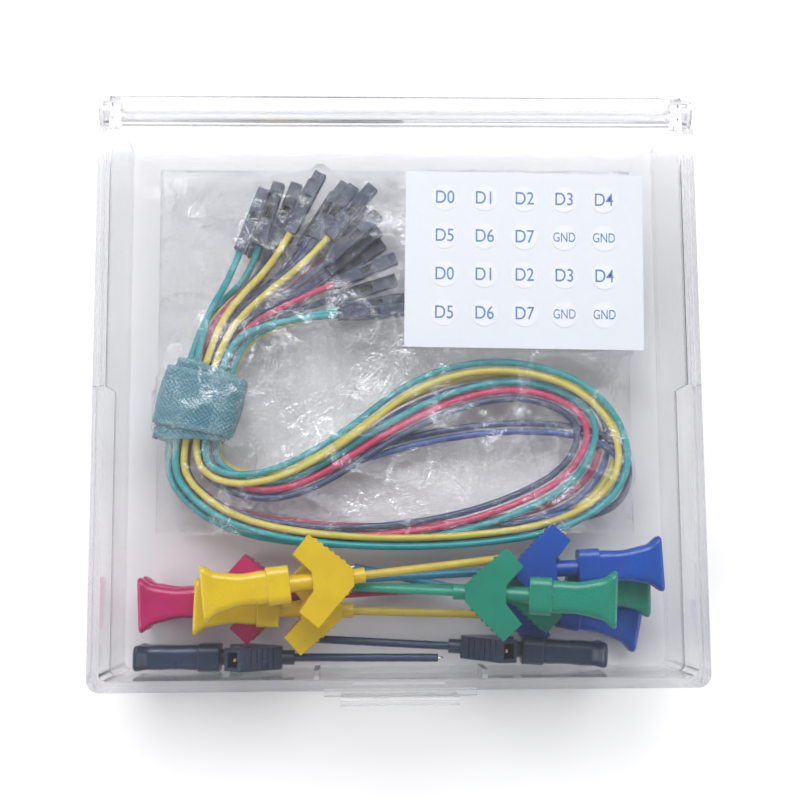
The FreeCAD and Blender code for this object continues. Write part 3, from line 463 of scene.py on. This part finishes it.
# %% Shared effect: fine scratches
hair_scratches, g_in, g_out = new_group(
    "hair scratches",
    [("Vector", "Vector", None), ("Scale", "Float", 60.0), ("Share", "Float", 0.5)],
    [("Mask", "Float")],
)
turned = hair_scratches.nodes.new("ShaderNodeMapping")
turned.inputs["Rotation"].default_value = (0.0, 0.0, 0.6)
turned.inputs["Scale"].default_value = (1.0, 14.0, 1.0)
hair_scratches.links.new(g_in.outputs["Vector"], turned.inputs["Vector"])
streaks = noise_node(hair_scratches, turned.outputs["Vector"], g_in.outputs["Scale"], 6.0, 0.7)
patches = noise_node(hair_scratches, g_in.outputs["Vector"], 22.0, 2.0, 0.5)
thin = math_node(hair_scratches, "MULTIPLY_ADD", streaks, 9.0, -5.6, clamp=True)
seen = math_node(hair_scratches, "MULTIPLY", thin, math_node(hair_scratches, "MULTIPLY", patches,
                                                             g_in.outputs["Share"]), clamp=True)
hair_scratches.links.new(seen, g_out.inputs["Mask"])
print("group:", hair_scratches.name, "nodes:", len(hair_scratches.nodes))

# %% Clear polypropylene


def clear_plastic(name, clear, roughness, share):
    """Clear plastic: so much of it transmits, and the rest is milky."""
    made, tree, shader, out, coordinates = new_material(name)
    skin = use_group(tree, moulded_skin, Vector=coordinates.outputs["Object"], Colour=(0.96, 0.96, 0.97, 1),
                     Shade=(0.94, 0.94, 0.955, 1), Flow_Scale=26.0, Grain_Scale=900.0,
                     Roughness=roughness, Rubbed=0.05)
    marks = use_group(tree, hair_scratches, Vector=coordinates.outputs["Object"], Scale=55.0, Share=share)
    tree.links.new(skin.outputs["Colour"], shader.inputs["Base Color"])
    scuffed = math_node(tree, "MULTIPLY_ADD", marks.outputs["Mask"], 0.2, skin.outputs["Roughness"],
                        clamp=True)
    tree.links.new(scuffed, shader.inputs["Roughness"])
    shader.inputs["Transmission Weight"].default_value = clear
    shader.inputs["IOR"].default_value = 1.42
    bump(tree, shader, skin.outputs["Height"], 0.25, 0.00004)
    see_through = tree.nodes.new("ShaderNodeBsdfTransparent")
    see_through.inputs["Color"].default_value = (0.90, 0.90, 0.905, 1)
    path = tree.nodes.new("ShaderNodeLightPath")
    lets_through = math_node(tree, "MAXIMUM", path.outputs["Is Shadow Ray"], path.outputs["Is Diffuse Ray"])
    either = tree.nodes.new("ShaderNodeMixShader")
    tree.links.new(lets_through, either.inputs["Fac"])
    tree.links.new(shader.outputs["BSDF"], either.inputs[1])
    tree.links.new(see_through.outputs["BSDF"], either.inputs[2])
    tree.links.new(either.outputs["Shader"], out.inputs["Surface"])
    return made


tray_clear = clear_plastic("milky_polypropylene", 0.90, 0.09, 0.4)
lid_clear = clear_plastic("clear_polypropylene", 0.995, 0.02, 0.4)
latch_clear = clear_plastic("latch_polypropylene", 0.80, 0.15, 0.4)
print("clear plastics:", tray_clear.name, lid_clear.name, latch_clear.name)

# %% [markdown]
# ## The clips
# A hook clip is four pieces: a flat trumpet that the thumb presses, a body with two finger wings, a
# coil spring, and a hook of sprung wire that runs through a brass tube in a soft sleeve. The moulded
# pieces are glossy, with edges rounded by about 0.2 mm. The Bevel node rounds them in the shading,
# because a carried-over piece keeps its mesh.

# %% Clip plastics
CLIP_COLOURS = {
    "yellow": ((0.78, 0.55, 0.002), (0.66, 0.43, 0.001)),
    "red": ((0.56, 0.008, 0.15), (0.42, 0.005, 0.10)),
    "black": ((0.022, 0.038, 0.085), (0.012, 0.022, 0.055)),
    "green": ((0.003, 0.26, 0.17), (0.002, 0.20, 0.125)),
    "blue": ((0.002, 0.085, 0.46), (0.001, 0.055, 0.34)),
}


def glossy_plastic(name, colour, shade, roughness):
    """A moulded plastic with softly rounded edges."""
    made = moulded(name, colour, shade, roughness, 0.00003, 140.0, 0.14)
    tree = made.node_tree
    shader = next(n for n in tree.nodes if n.type == "BSDF_PRINCIPLED")
    ripple = next(n for n in tree.nodes if n.type == "BUMP")
    soft_edge = tree.nodes.new("ShaderNodeBevel")
    soft_edge.samples = 4
    soft_edge.inputs["Radius"].default_value = 0.00022
    tree.links.new(soft_edge.outputs["Normal"], ripple.inputs["Normal"])
    shader.inputs["Subsurface Weight"].default_value = 0.06
    shader.inputs["Subsurface Scale"].default_value = 0.0006
    return made


clip_plastic = {c: glossy_plastic("clip_" + c, *pair, 0.26) for c, pair in CLIP_COLOURS.items()}
print("clip plastics:", sorted(clip_plastic))

# %% Metals


def metal(name, colour, worn, roughness):
    """A plated metal: uneven roughness, and a slightly darker worn colour."""
    made, tree, shader, out, coordinates = new_material(name)
    skin = use_group(tree, moulded_skin, Vector=coordinates.outputs["Object"], Colour=(*colour, 1),
                     Shade=(*worn, 1), Flow_Scale=500.0, Grain_Scale=5000.0, Roughness=roughness, Rubbed=0.25)
    tree.links.new(skin.outputs["Colour"], shader.inputs["Base Color"])
    tree.links.new(skin.outputs["Roughness"], shader.inputs["Roughness"])
    shader.inputs["Metallic"].default_value = 1.0
    bump(tree, shader, skin.outputs["Height"], 0.3, 0.00001)
    return made


hook_wire = metal("hook_wire", (0.78, 0.76, 0.72), (0.62, 0.60, 0.57), 0.22)
spring_wire = metal("spring_wire", (0.66, 0.66, 0.67), (0.50, 0.50, 0.52), 0.28)
gold_contact = metal("gold_contact", (0.90, 0.66, 0.26), (0.74, 0.50, 0.18), 0.24)
print("metals:", hook_wire.name, spring_wire.name, gold_contact.name)

# %% Labels


def label_stock(name, colour, shade, roughness):
    """Paper: a fine even fibre, no gloss."""
    made, tree, shader, out, coordinates = new_material(name)
    skin = use_group(tree, moulded_skin, Vector=coordinates.outputs["Object"], Colour=(*colour, 1),
                     Shade=(*shade, 1), Flow_Scale=900.0, Grain_Scale=6000.0, Roughness=roughness, Rubbed=0.1)
    tree.links.new(skin.outputs["Colour"], shader.inputs["Base Color"])
    tree.links.new(skin.outputs["Roughness"], shader.inputs["Roughness"])
    bump(tree, shader, skin.outputs["Height"], 0.4, 0.00001)
    return made


backing_paper = label_stock("backing_paper", (0.80, 0.83, 0.88), (0.77, 0.80, 0.86), 0.42)
sticker_paper = label_stock("sticker_paper", (0.86, 0.885, 0.93), (0.84, 0.865, 0.91), 0.5)
blue_ink = label_stock("blue_ink", (0.07, 0.19, 0.50), (0.10, 0.23, 0.55), 0.5)
print("papers:", backing_paper.name, sticker_paper.name, blue_ink.name)


# %% Dress the carried-over pieces
def dress(node, made):
    """Gives a carried-over piece one finish."""
    nodes[node].data.materials.clear()
    nodes[node].data.materials.append(made)


dress("case_tray", tray_clear)
dress("case_lid", lid_clear)
dress("front_latch", latch_clear)
for node in nodes:
    words = node.split("_")
    if words[0] == "clip" and words[1] in ("body", "plunger"):
        dress(node, clip_plastic[words[2]])
    if words[0] == "clip" and words[1] == "hook":
        dress(node, hook_wire)
    if words[0] == "clip" and words[1] == "spring":
        dress(node, spring_wire)
dress("metal_contacts", gold_contact)
dress("label_sheet", backing_paper)
dress("label_stickers", sticker_paper)
print("dressed:", sum(1 for o in nodes.values() if o.data.materials))

# %% [markdown]
# ## The coil springs
# Each clip's coil spring is held at one end inside the body; the plunger shortens it by its 2.4 mm of
# travel. Each spring is copied into a piece with its own mesh, which rides with the case.

# %% Coil springs
HELD_ENDS = {
    "yellow_a": ((-0.010062, -0.036452, 0.02227), (0.98683, 0.1072, -0.1211)),
    "yellow_b": ((-0.012471, -0.04305, 0.013378), (0.9938, -0.03818, -0.10443)),
    "red_a": ((-0.023878, -0.040655, 0.009153), (0.99718, 0.04528, -0.05989)),
    "red_b": ((-0.02383, -0.040453, 0.004145), (0.99892, 0.04536, -0.01)),
    "black_a": ((-0.024002, -0.052288, 0.0106), (0.99994, -0.01047, -0.0)),
    "green_a": ((0.01385, -0.039572, 0.021639), (-0.99092, 0.05193, -0.12404)),
    "green_b": ((0.023004, -0.03912, 0.0102), (-0.99985, 0.01745, -0.0)),
    "blue_a": ((0.02436, -0.035498, 0.015277), (-0.9978, -0.04356, -0.04994)),
    "blue_b": ((0.022517, -0.041386, 0.005012), (-0.97755, 0.20778, 0.03498)),
    "black_b": ((0.013577, -0.050567, 0.010127), (-0.9972, 0.05575, -0.04994)),
}
for name, (held, axis) in HELD_ENDS.items():
    drawn = nodes["clip_spring_" + name]
    coil = bpy.data.objects.new("coil_spring_" + name, drawn.data.copy())
    bpy.context.scene.collection.objects.link(coil)
    coil.matrix_world = drawn.matrix_world.copy()
    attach(coil, "case")
    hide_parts("clip_spring_" + name)
    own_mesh(coil)

# %% [markdown]
# ## Sleeves on the clips
# Each brass tube wears a soft sleeve in the clip's colour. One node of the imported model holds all
# ten, so each gets its own piece here: a cylinder whose end is inset and pushed in, so that the hook
# comes out of a real hole.

# %% Sleeves
CLIPS = {
    "yellow_a": ((-0.0372, -0.0394, 0.0256), 6.2, 0.122),
    "yellow_b": ((-0.0398, -0.0420, 0.01625), -2.2, 0.105),
    "red_a": ((-0.0513, -0.0419, 0.0108), 2.6, 0.06),
    "red_b": ((-0.0513, -0.0417, 0.00442), 2.6, 0.01),
    "black_a": ((-0.0515, -0.0520, 0.0106), -0.6, 0.0),
    "green_a": ((0.0411, -0.0410, 0.02505), 177.0, 0.125),
    "green_b": ((0.0505, -0.0396, 0.0102), 179.0, 0.0),
    "blue_a": ((0.0518, -0.0343, 0.01665), 182.5, 0.05),
    "blue_b": ((0.0494, -0.0471, 0.00405), 168.0, -0.035),
    "black_b": ((0.0410, -0.0521, 0.0115), 176.8, 0.05),
}
SLEEVE_COLOURS = {
    "yellow": ((0.62, 0.48, 0.06), (0.52, 0.38, 0.04)),
    "red": ((0.45, 0.02, 0.09), (0.36, 0.012, 0.07)),
    "black": ((0.012, 0.03, 0.085), (0.008, 0.02, 0.06)),
    "green": ((0.015, 0.30, 0.20), (0.01, 0.24, 0.15)),
    "blue": ((0.004, 0.20, 0.34), (0.003, 0.15, 0.27)),
}
sleeve_plastic = {c: moulded("sleeve_" + c, *pair, 0.42, 0.00002, 400.0, 0.2)
                  for c, pair in SLEEVE_COLOURS.items()}
SLEEVE_FROM, SLEEVE_TO, SLEEVE_R, TUBE_R = 0.029, 0.0595, 0.0008, 0.00056


def sleeve(name, at, yaw, fall):
    """A hollow sleeve about the clip's axis."""
    bm = bmesh.new()
    long = SLEEVE_TO - SLEEVE_FROM
    bmesh.ops.create_cone(bm, cap_ends=True, segments=20, radius1=SLEEVE_R, radius2=SLEEVE_R, depth=long)
    caps = [f for f in bm.faces if abs(f.normal.z) > 0.9]
    bmesh.ops.inset_individual(bm, faces=caps, thickness=SLEEVE_R - TUBE_R, depth=0)
    for f in caps:
        bmesh.ops.translate(bm, vec=(0, 0, -0.002 if f.normal.z > 0 else 0.002), verts=f.verts)
    rims = [e for e in bm.edges if all(abs(math.hypot(v.co.x, v.co.y) - SLEEVE_R) < 1e-6 for v in e.verts)
            and abs(e.verts[0].co.z - e.verts[1].co.z) < 1e-7]
    bmesh.ops.bevel(bm, geom=rims, offset=0.0001, segments=2, profile=0.5, material=-1,
                    affect="EDGES", clamp_overlap=True)
    bmesh.ops.translate(bm, vec=(0, 0, (SLEEVE_FROM + SLEEVE_TO) / 2), verts=bm.verts)
    place = (Matrix.Translation(at) @ Matrix.Rotation(math.radians(yaw), 4, "Z")
             @ Matrix.Rotation(math.atan(fall), 4, "Y") @ Matrix.Rotation(math.pi / 2, 4, "Y"))
    bmesh.ops.transform(bm, matrix=place, verts=bm.verts)
    for f in bm.faces:
        f.smooth = len(f.verts) == 4
    piece = object_from(bm, "sleeve_" + name, sleeve_plastic[name.split("_")[0]])
    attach(piece, "case")
    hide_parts("clip_sleeves")
    return piece


sleeves = [sleeve(name, *spec) for name, spec in CLIPS.items()]
print("sleeves:", len(sleeves))

# %% [markdown]
# ## Printing on the labels
# The sheet carries four rows of five round stickers, for eight data channels and two grounds, twice
# over. Letters are text curves that are made a mesh and joined, so that they are one thin print.

# %% Channel print
LABEL_AT = Vector((0.0261, 0.0271, 0.01455))
LABEL_TURN = -1.0
DOT_DX, DOT_DY, PRINT_Z = 0.00815, 0.00795, 0.000105
CHANNELS = ["D0", "D1", "D2", "D3", "D4", "D5", "D6", "D7", "GND", "GND"] * 2
print_mesh = bmesh.new()
for k, words in enumerate(CHANNELS):
    line, column = divmod(k, 5)
    text = bpy.data.curves.new("channel", "FONT")
    text.body = words
    text.size = 0.0038 if len(words) == 2 else 0.0028
    text.align_x, text.align_y = "CENTER", "CENTER"
    text.extrude = 0.00001
    text.offset = 0.00001
    letter = bpy.data.objects.new("channel", text)
    mesh = bpy.data.meshes.new_from_object(letter)
    squeeze = 0.86 if len(words) == 2 else 0.74
    mesh.transform(Matrix.Diagonal((squeeze, 1, 1, 1)))
    spot = Vector(((column - 2) * DOT_DX, (1.5 - line) * DOT_DY + 0.0008, PRINT_Z))
    mesh.transform(Matrix.Translation(spot))
    print_mesh.from_mesh(mesh)
    bpy.data.objects.remove(letter)
    bpy.data.curves.remove(text)
    bpy.data.meshes.remove(mesh)
place = Matrix.Translation(LABEL_AT) @ Matrix.Rotation(math.radians(LABEL_TURN), 4, "Z")
bmesh.ops.transform(print_mesh, matrix=place, verts=print_mesh.verts)
channel_print = object_from(print_mesh, "channel_print", blue_ink)
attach(channel_print, "case")
print("print faces:", len(channel_print.data.polygons))

# %% [markdown]
# ## The hook-and-loop strap
# The bundle is held by a strap of brushed cloth, 12 mm wide and about 135 mm long. It goes round
# nearly three times, and each turn is shifted a little along the bundle, so that the inner turns
# peep out. It starts as a flat grid, and each row of the grid is carried to its place on the wrap.

# %% The wrap's line
STRAP_AT = Vector((-0.0398, -0.0005, 0.00765))
LEAN = math.radians(75.5)
ALONG = Vector((math.cos(LEAN), math.sin(LEAN), 0))
ACROSS = Vector((math.sin(LEAN), -math.cos(LEAN), 0))
HALF_WIDE, HALF_HIGH, BAND, BAND_THICK = 0.0062, 0.0037, 0.0120, 0.00062
TURNS, STEPS = 2.86, 150
# The angle the wrap starts at, its growth with each turn, and how square its outline is.
WRAP_START, SWELL, SQUARENESS = 0.65, 0.00078, 4.0


def wrap_point(turn):
    """Place on the wrap after so many turns: across, up, along, and the outward direction."""
    angle = -2 * math.pi * turn - WRAP_START
    swell = SWELL * turn
    wide, high = HALF_WIDE + swell, HALF_HIGH + swell
    c, s = math.cos(angle), math.sin(angle)
    size = (abs(c / wide) ** SQUARENESS + abs(s / high) ** SQUARENESS) ** (-1 / SQUARENESS)
    a, h = size * c, size * s
    out = Vector((abs(c / wide) ** (SQUARENESS - 1) * math.copysign(1, c) / wide,
                  abs(s / high) ** (SQUARENESS - 1) * math.copysign(1, s) / high)).normalized()
    drift = 0.0034 * math.cos(turn * 2.1) * (1 - turn / TURNS) ** 0.5 - 0.0006
    skew = 0.0011 * math.sin(angle + turn)
    return a, h, drift + skew, out


# %% The strap itself
ROW = 13
bm = bmesh.new()
bmesh.ops.create_grid(bm, x_segments=STEPS, y_segments=ROW - 1, size=1.0)
weave_layer = bm.loops.layers.uv.new("weave")
laid = sorted(bm.verts, key=lambda v: (round(v.co.x, 5), round(v.co.y, 5)))
seat_of = {v: divmod(n, ROW) for n, v in enumerate(laid)}
wrapped = 0.0
last = None
marks_along = []
for k in range(STEPS + 1):
    a, h, shift, out = wrap_point(TURNS * k / STEPS)
    here = Vector((a, h))
    if last is not None:
        wrapped += (here - last).length
    last = here
    marks_along.append(wrapped)
    for j in range(ROW):
        t = j / (ROW - 1) - 0.5
        ripple = noise.noise(Vector((wrapped * 300, t * 5, 3.0)))
        sag = 0.00016 * math.cos(2 * math.pi * t) + 0.00012 * ripple
        fray = 0.00022 * noise.noise(Vector((wrapped * 900, t * 2, 9.0))) if j in (0, ROW - 1) else 0
        p = STRAP_AT + ACROSS * (a + out.x * sag) + Vector((0, 0, h + out.y * sag))
        p += ALONG * (shift + t * BAND + fray)
        laid[k * ROW + j].co = p
for f in bm.faces:
    f.smooth = True
    for loop in f.loops:
        k, j = seat_of[loop.vert]
        loop[weave_layer].uv = (marks_along[k] * 100, j / (ROW - 1) * BAND * 100)
bmesh.ops.recalc_face_normals(bm, faces=bm.faces)
cloth_strap = object_from(bm, "cloth_strap")
thick = cloth_strap.modifiers.new("thickness", "SOLIDIFY")
thick.thickness = BAND_THICK
thick.offset = 0
print("strap wound:", round(wrapped, 4), "m, faces:", len(cloth_strap.data.polygons))

# %% [markdown]
# The cloth is a warp knit with a brushed pile: rows of small loops about 1 mm apart, with shade
# painted dark between them where the pile is low, and paler along the edges. The strap's own UV map
# follows the band, so that the rows of loops run along it and bend with it.

# %% Brushed strap cloth
cloth, tree, shader, out, coordinates = new_material("strap_cloth")
weave_uv = tree.nodes.new("ShaderNodeUVMap")
weave_uv.uv_map = "weave"
split = tree.nodes.new("ShaderNodeSeparateXYZ")
tree.links.new(weave_uv.outputs["UV"], split.inputs["Vector"])
fluff = noise_node(tree, coordinates.outputs["Object"], 2600.0, 5.0, 0.7)
wander = math_node(tree, "MULTIPLY_ADD", noise_node(tree, coordinates.outputs["Object"], 500.0), 2.4, -1.2)
along_wave = math_node(tree, "SINE", math_node(tree, "MULTIPLY_ADD", split.outputs["X"], 62.0, wander))
across_wave = math_node(tree, "SINE", math_node(tree, "MULTIPLY_ADD", split.outputs["Y"], 72.0, wander))
loops = math_node(tree, "MULTIPLY_ADD", math_node(tree, "MULTIPLY", along_wave, across_wave), 0.5, 0.5)
pile = math_node(tree, "MULTIPLY_ADD", loops, 0.55, math_node(tree, "MULTIPLY", fluff, 0.45))
edge = math_node(tree, "ABSOLUTE", math_node(tree, "SUBTRACT", split.outputs["Y"], BAND * 50))
edge_mask = math_node(tree, "MULTIPLY_ADD", edge, 9.0, -4.3, clamp=True)
# Painted shade: darker where the pile is low, between the loops; the fluff adds random tone.
pile_colour_with_painted_shade = mix_colour(tree, math_node(tree, "MULTIPLY_ADD", pile, 1.7, -0.35, clamp=True),
                    (0.012, 0.10, 0.15, 1), (0.10, 0.31, 0.37, 1))
paled = mix_colour(tree, math_node(tree, "MULTIPLY", edge_mask, 0.55), pile_colour_with_painted_shade, (0.18, 0.42, 0.46, 1))
tree.links.new(paled, shader.inputs["Base Color"])
shader.inputs["Roughness"].default_value = 0.85
shader.inputs["Sheen Weight"].default_value = 0.25
shader.inputs["Sheen Roughness"].default_value = 0.5
bump(tree, shader, pile, 0.9, 0.0003)
cloth_strap.data.materials.append(cloth)
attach(cloth_strap, "case")
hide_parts("strap")
print("strap cloth nodes:", len(tree.nodes))

# %% [markdown]
# ## The clear bag
# The leads came in a thin clear bag, which still lies round them: its upper film rests on the
# housings and the strap and sags between them, and creases catch the light. Its lie is worked out on
# a grid of heights, in place of a cloth simulation: each point sinks towards the mean of its
# neighbours, but never below what it rests on. Noise then adds the creases.

# %% What the film rests on
BAG_X, BAG_FRONT, BAG_BACK, STEP = 0.0497, -0.0282, 0.0497, 0.0007
xs = np.arange(-BAG_X, BAG_X + 1e-9, STEP)
ys = np.arange(BAG_FRONT, BAG_BACK + 1e-9, STEP)
grid_x, grid_y = np.meshgrid(xs, ys)
FLOOR_Z, UNDER_Z = 0.0019, 0.00168
STRAP_TOP, LABEL_REST = 0.01375, 0.0134
support = np.full(grid_x.shape, FLOOR_Z)


def rest_on_disc(x, y, radius, height):
    """Raises the support under a disc."""
    near = (grid_x - x) ** 2 + (grid_y - y) ** 2 < radius ** 2
    support[near] = np.maximum(support[near], height)


for name, wire in wires.items():
    bare = wire.data.copy()
    bare.bevel_depth = 0
    probe = bpy.data.objects.new("probe", bare)
    line = bpy.data.meshes.new_from_object(probe)
    for v in line.vertices:
        rest_on_disc(v.co.x, v.co.y, 0.0013, v.co.z + 0.0011)
    bpy.data.objects.remove(probe)
    bpy.data.meshes.remove(line)
    bpy.data.curves.remove(bare)
for name, x, y, z, angle in SEATS:
    way = Vector((math.cos(math.radians(angle)), math.sin(math.radians(angle))))
    for k in range(15):
        rest_on_disc(x + way.x * k * 0.001, y + way.y * k * 0.001, 0.0019, z + 0.00165)
for k in range(-8, 9):
    for j in range(-8, 9):
        p = STRAP_AT + ALONG * (k * 0.001) + ACROSS * (j * 0.001)
        rest_on_disc(p.x, p.y, 0.0013, STRAP_TOP)
label_zone = (grid_x > 0.0005) & (grid_y > 0.0075) & (grid_y < 0.0465) & (grid_x < 0.0485)
support[label_zone] = np.maximum(support[label_zone], LABEL_REST)
print("support from", round(support.min(), 4), "to", round(support.max(), 4))

# %% Let the film settle
START_Z, SINK, SETTLE_STEPS = 0.0141, 0.0000020, 1400
CREST_Z, UNDER_LABEL_Z = 0.0180, 0.01405
height = np.full(grid_x.shape, START_Z)
edge_x = BAG_X - np.abs(grid_x)
edge_back = BAG_BACK - grid_y
for _ in range(SETTLE_STEPS):
    beside = np.roll(height, 1, 0) + np.roll(height, -1, 0)
    mean = (beside + np.roll(height, 1, 1) + np.roll(height, -1, 1)) / 4
    mean[0] = height[1]
    height = np.maximum(mean - SINK, support)
    height[:, 0] = height[:, -1] = FLOOR_Z
    height[-1] = FLOOR_Z
crinkle = np.zeros(grid_x.shape)
for k in range(grid_x.shape[0]):
    for j in range(grid_x.shape[1]):
        x, y = grid_x[k, j], grid_y[k, j]
        bend = noise.noise(Vector((x * 22, y * 22, 1.0))) * 1.6
        fold = 1 - abs(noise.noise(Vector((x * 70 + y * 55 + bend, y * 42 - x * 30, 4.0)))) * 3.2
        small = 1 - abs(noise.noise(Vector((x * 210 - y * 90, y * 230 + x * 60, 7.0)))) * 3.0
        crinkle[k, j] = 0.0024 * max(fold, 0) ** 2 + 0.0005 * max(small, 0) ** 2
calm = np.clip(np.minimum(edge_x, edge_back) / 0.006, 0, 1)
calm *= np.clip((grid_y - BAG_FRONT) / 0.014, 0.12, 1)
film = np.minimum(height + crinkle * calm, CREST_Z)
under_label = (grid_x > 0.0002) & (grid_y > 0.0075)
film[under_label] = np.minimum(film[under_label], UNDER_LABEL_Z)
print("film from", round(film.min(), 4), "to", round(film.max(), 4))

# %% The bag's mesh
bm = bmesh.new()
bmesh.ops.create_grid(bm, x_segments=len(xs) - 1, y_segments=len(ys) - 1, size=1.0)
bm.verts.ensure_lookup_table()
ordered = sorted(bm.verts, key=lambda v: (round(v.co.y, 5), round(v.co.x, 5)))
for v, x, y, z in zip(ordered, grid_x.ravel(), grid_y.ravel(), film.ravel()):
    v.co = (x, y, z)
closed = [e for e in bm.edges if e.is_boundary and all(v.co.y > BAG_FRONT + 1e-5 for v in e.verts)]
under = bmesh.ops.extrude_edge_only(bm, edges=closed)
for v in [g for g in under["geom"] if isinstance(g, bmesh.types.BMVert)]:
    v.co.z = UNDER_Z
bottom_rim = [e for e in bm.edges
              if e.is_boundary and all(abs(v.co.z - UNDER_Z) < 1e-6 for v in e.verts)]
rim_verts = {v for e in bottom_rim for v in e.verts}
left = min(rim_verts, key=lambda v: v.co.x + v.co.y)
right_end = min(rim_verts, key=lambda v: -v.co.x + v.co.y)
mouth_edge = bm.edges.new((left, right_end))
bmesh.ops.triangle_fill(bm, edges=bottom_rim + [mouth_edge], use_beauty=True, normal=(0, 0, -1))
bmesh.ops.recalc_face_normals(bm, faces=bm.faces)
for f in bm.faces:
    f.smooth = True
clear_bag = object_from(bm, "clear_bag")
print("bag faces:", len(clear_bag.data.polygons))

# %% [markdown]
# Film this thin bends hardly any light: one looks straight through it, and sees only what its
# creases mirror. So the material is mostly a Transparent shader. Layer Weight lets more of a glossy
# mirror coat show where the film turns away, and a crease mask brightens the sharpest folds a little.

# %% Film
bag_film, tree, shader, out, coordinates = new_material("bag_film")
skin = use_group(tree, moulded_skin, Vector=coordinates.outputs["Object"], Colour=(0.90, 0.92, 0.95, 1),
                 Shade=(0.84, 0.86, 0.90, 1), Flow_Scale=90.0, Grain_Scale=1200.0, Roughness=0.15, Rubbed=0.1)
tree.links.new(skin.outputs["Colour"], shader.inputs["Base Color"])
tree.links.new(skin.outputs["Roughness"], shader.inputs["Roughness"])
shader.inputs["Metallic"].default_value = 1.0
ripple = bump(tree, shader, skin.outputs["Height"], 1.0, 0.0010)
see_through = tree.nodes.new("ShaderNodeBsdfTransparent")
see_through.inputs["Color"].default_value = (0.995, 0.995, 0.995, 1)
turned_away = tree.nodes.new("ShaderNodeLayerWeight")
turned_away.inputs["Blend"].default_value = 0.5
tree.links.new(ripple.outputs["Normal"], turned_away.inputs["Normal"])
steep = math_node(tree, "POWER", turned_away.outputs["Facing"], 3.0)
ridge = noise_node(tree, coordinates.outputs["Object"], 60.0, 5.0, 0.55)
crease = math_node(tree, "SUBTRACT", 1.0, math_node(
    tree, "MULTIPLY", math_node(tree, "ABSOLUTE", math_node(tree, "SUBTRACT", ridge, 0.5)), 26.0), clamp=True)
creased = math_node(tree, "MULTIPLY_ADD", crease, 0.16, 0.055)
glint = math_node(tree, "MULTIPLY_ADD", steep, 0.9, creased, clamp=True)
path = tree.nodes.new("ShaderNodeLightPath")
lamp_or_wall = math_node(tree, "MAXIMUM", path.outputs["Is Shadow Ray"], path.outputs["Is Diffuse Ray"])
shown = math_node(tree, "MULTIPLY", glint, math_node(tree, "MULTIPLY_ADD", lamp_or_wall, -0.8, 1.0))
either = tree.nodes.new("ShaderNodeMixShader")
tree.links.new(shown, either.inputs["Fac"])
tree.links.new(see_through.outputs["BSDF"], either.inputs[1])
tree.links.new(shader.outputs["BSDF"], either.inputs[2])
tree.links.new(either.outputs["Shader"], out.inputs["Surface"])
clear_bag.data.materials.append(bag_film)
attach(clear_bag, "case")
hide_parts("poly_bag")
print("film nodes:", len(tree.nodes))

# %% [markdown]
# ## Table and light
# The case stands on a plain pale table under soft studio light. A big soft lamp stands behind the
# case, high up: the flat lid mirrors its lower edge, which gives the milky glow on the rear half.

# %% Table
bm = bmesh.new()
bmesh.ops.create_grid(bm, x_segments=4, y_segments=4, size=1.5)
bmesh.ops.translate(bm, vec=(0, 0, -0.0003), verts=bm.verts)
table_top = moulded("table_top", (0.95, 0.95, 0.955), (0.94, 0.94, 0.945), 0.7, 0.00002, 6.0)
table = object_from(bm, "table", table_top)
print("table:", table.name)

# %% Studio light


def soft_lamp(name, at, towards, width, depth, watts, colour=(1, 1, 1)):
    """A rectangular lamp that looks at a point."""
    data = bpy.data.lights.new(name, "AREA")
    data.shape = "RECTANGLE"
    data.size, data.size_y = width, depth
    data.energy = watts
    data.color = colour
    lamp = bpy.data.objects.new(name, data)
    bpy.context.scene.collection.objects.link(lamp)
    lamp.location = at
    lamp.rotation_mode = "QUATERNION"
    lamp.rotation_quaternion = (Vector(towards) - Vector(at)).to_track_quat("-Z", "Y")
    return lamp


soft_lamp("rear_soft_lamp", (0.0, 0.44, 0.56), (0, 0.03, 0), 0.7, 0.45, 5.4)
soft_lamp("left_soft_lamp", (-0.55, -0.1, 0.40), (0, 0, 0), 0.4, 0.4, 1.9)
soft_lamp("right_soft_lamp", (0.55, -0.2, 0.35), (0, 0, 0), 0.4, 0.4, 1.4)
world = bpy.data.worlds.new("studio")
bpy.context.scene.world = world
world.use_nodes = True
world.node_tree.nodes["Background"].inputs["Color"].default_value = (0.96, 0.96, 0.97, 1)
world.node_tree.nodes["Background"].inputs["Strength"].default_value = 0.30
# Light crosses the lid, the film twice and the tray before it meets the table, and comes back the same way.
bpy.context.scene.cycles.transparent_max_bounces = 32
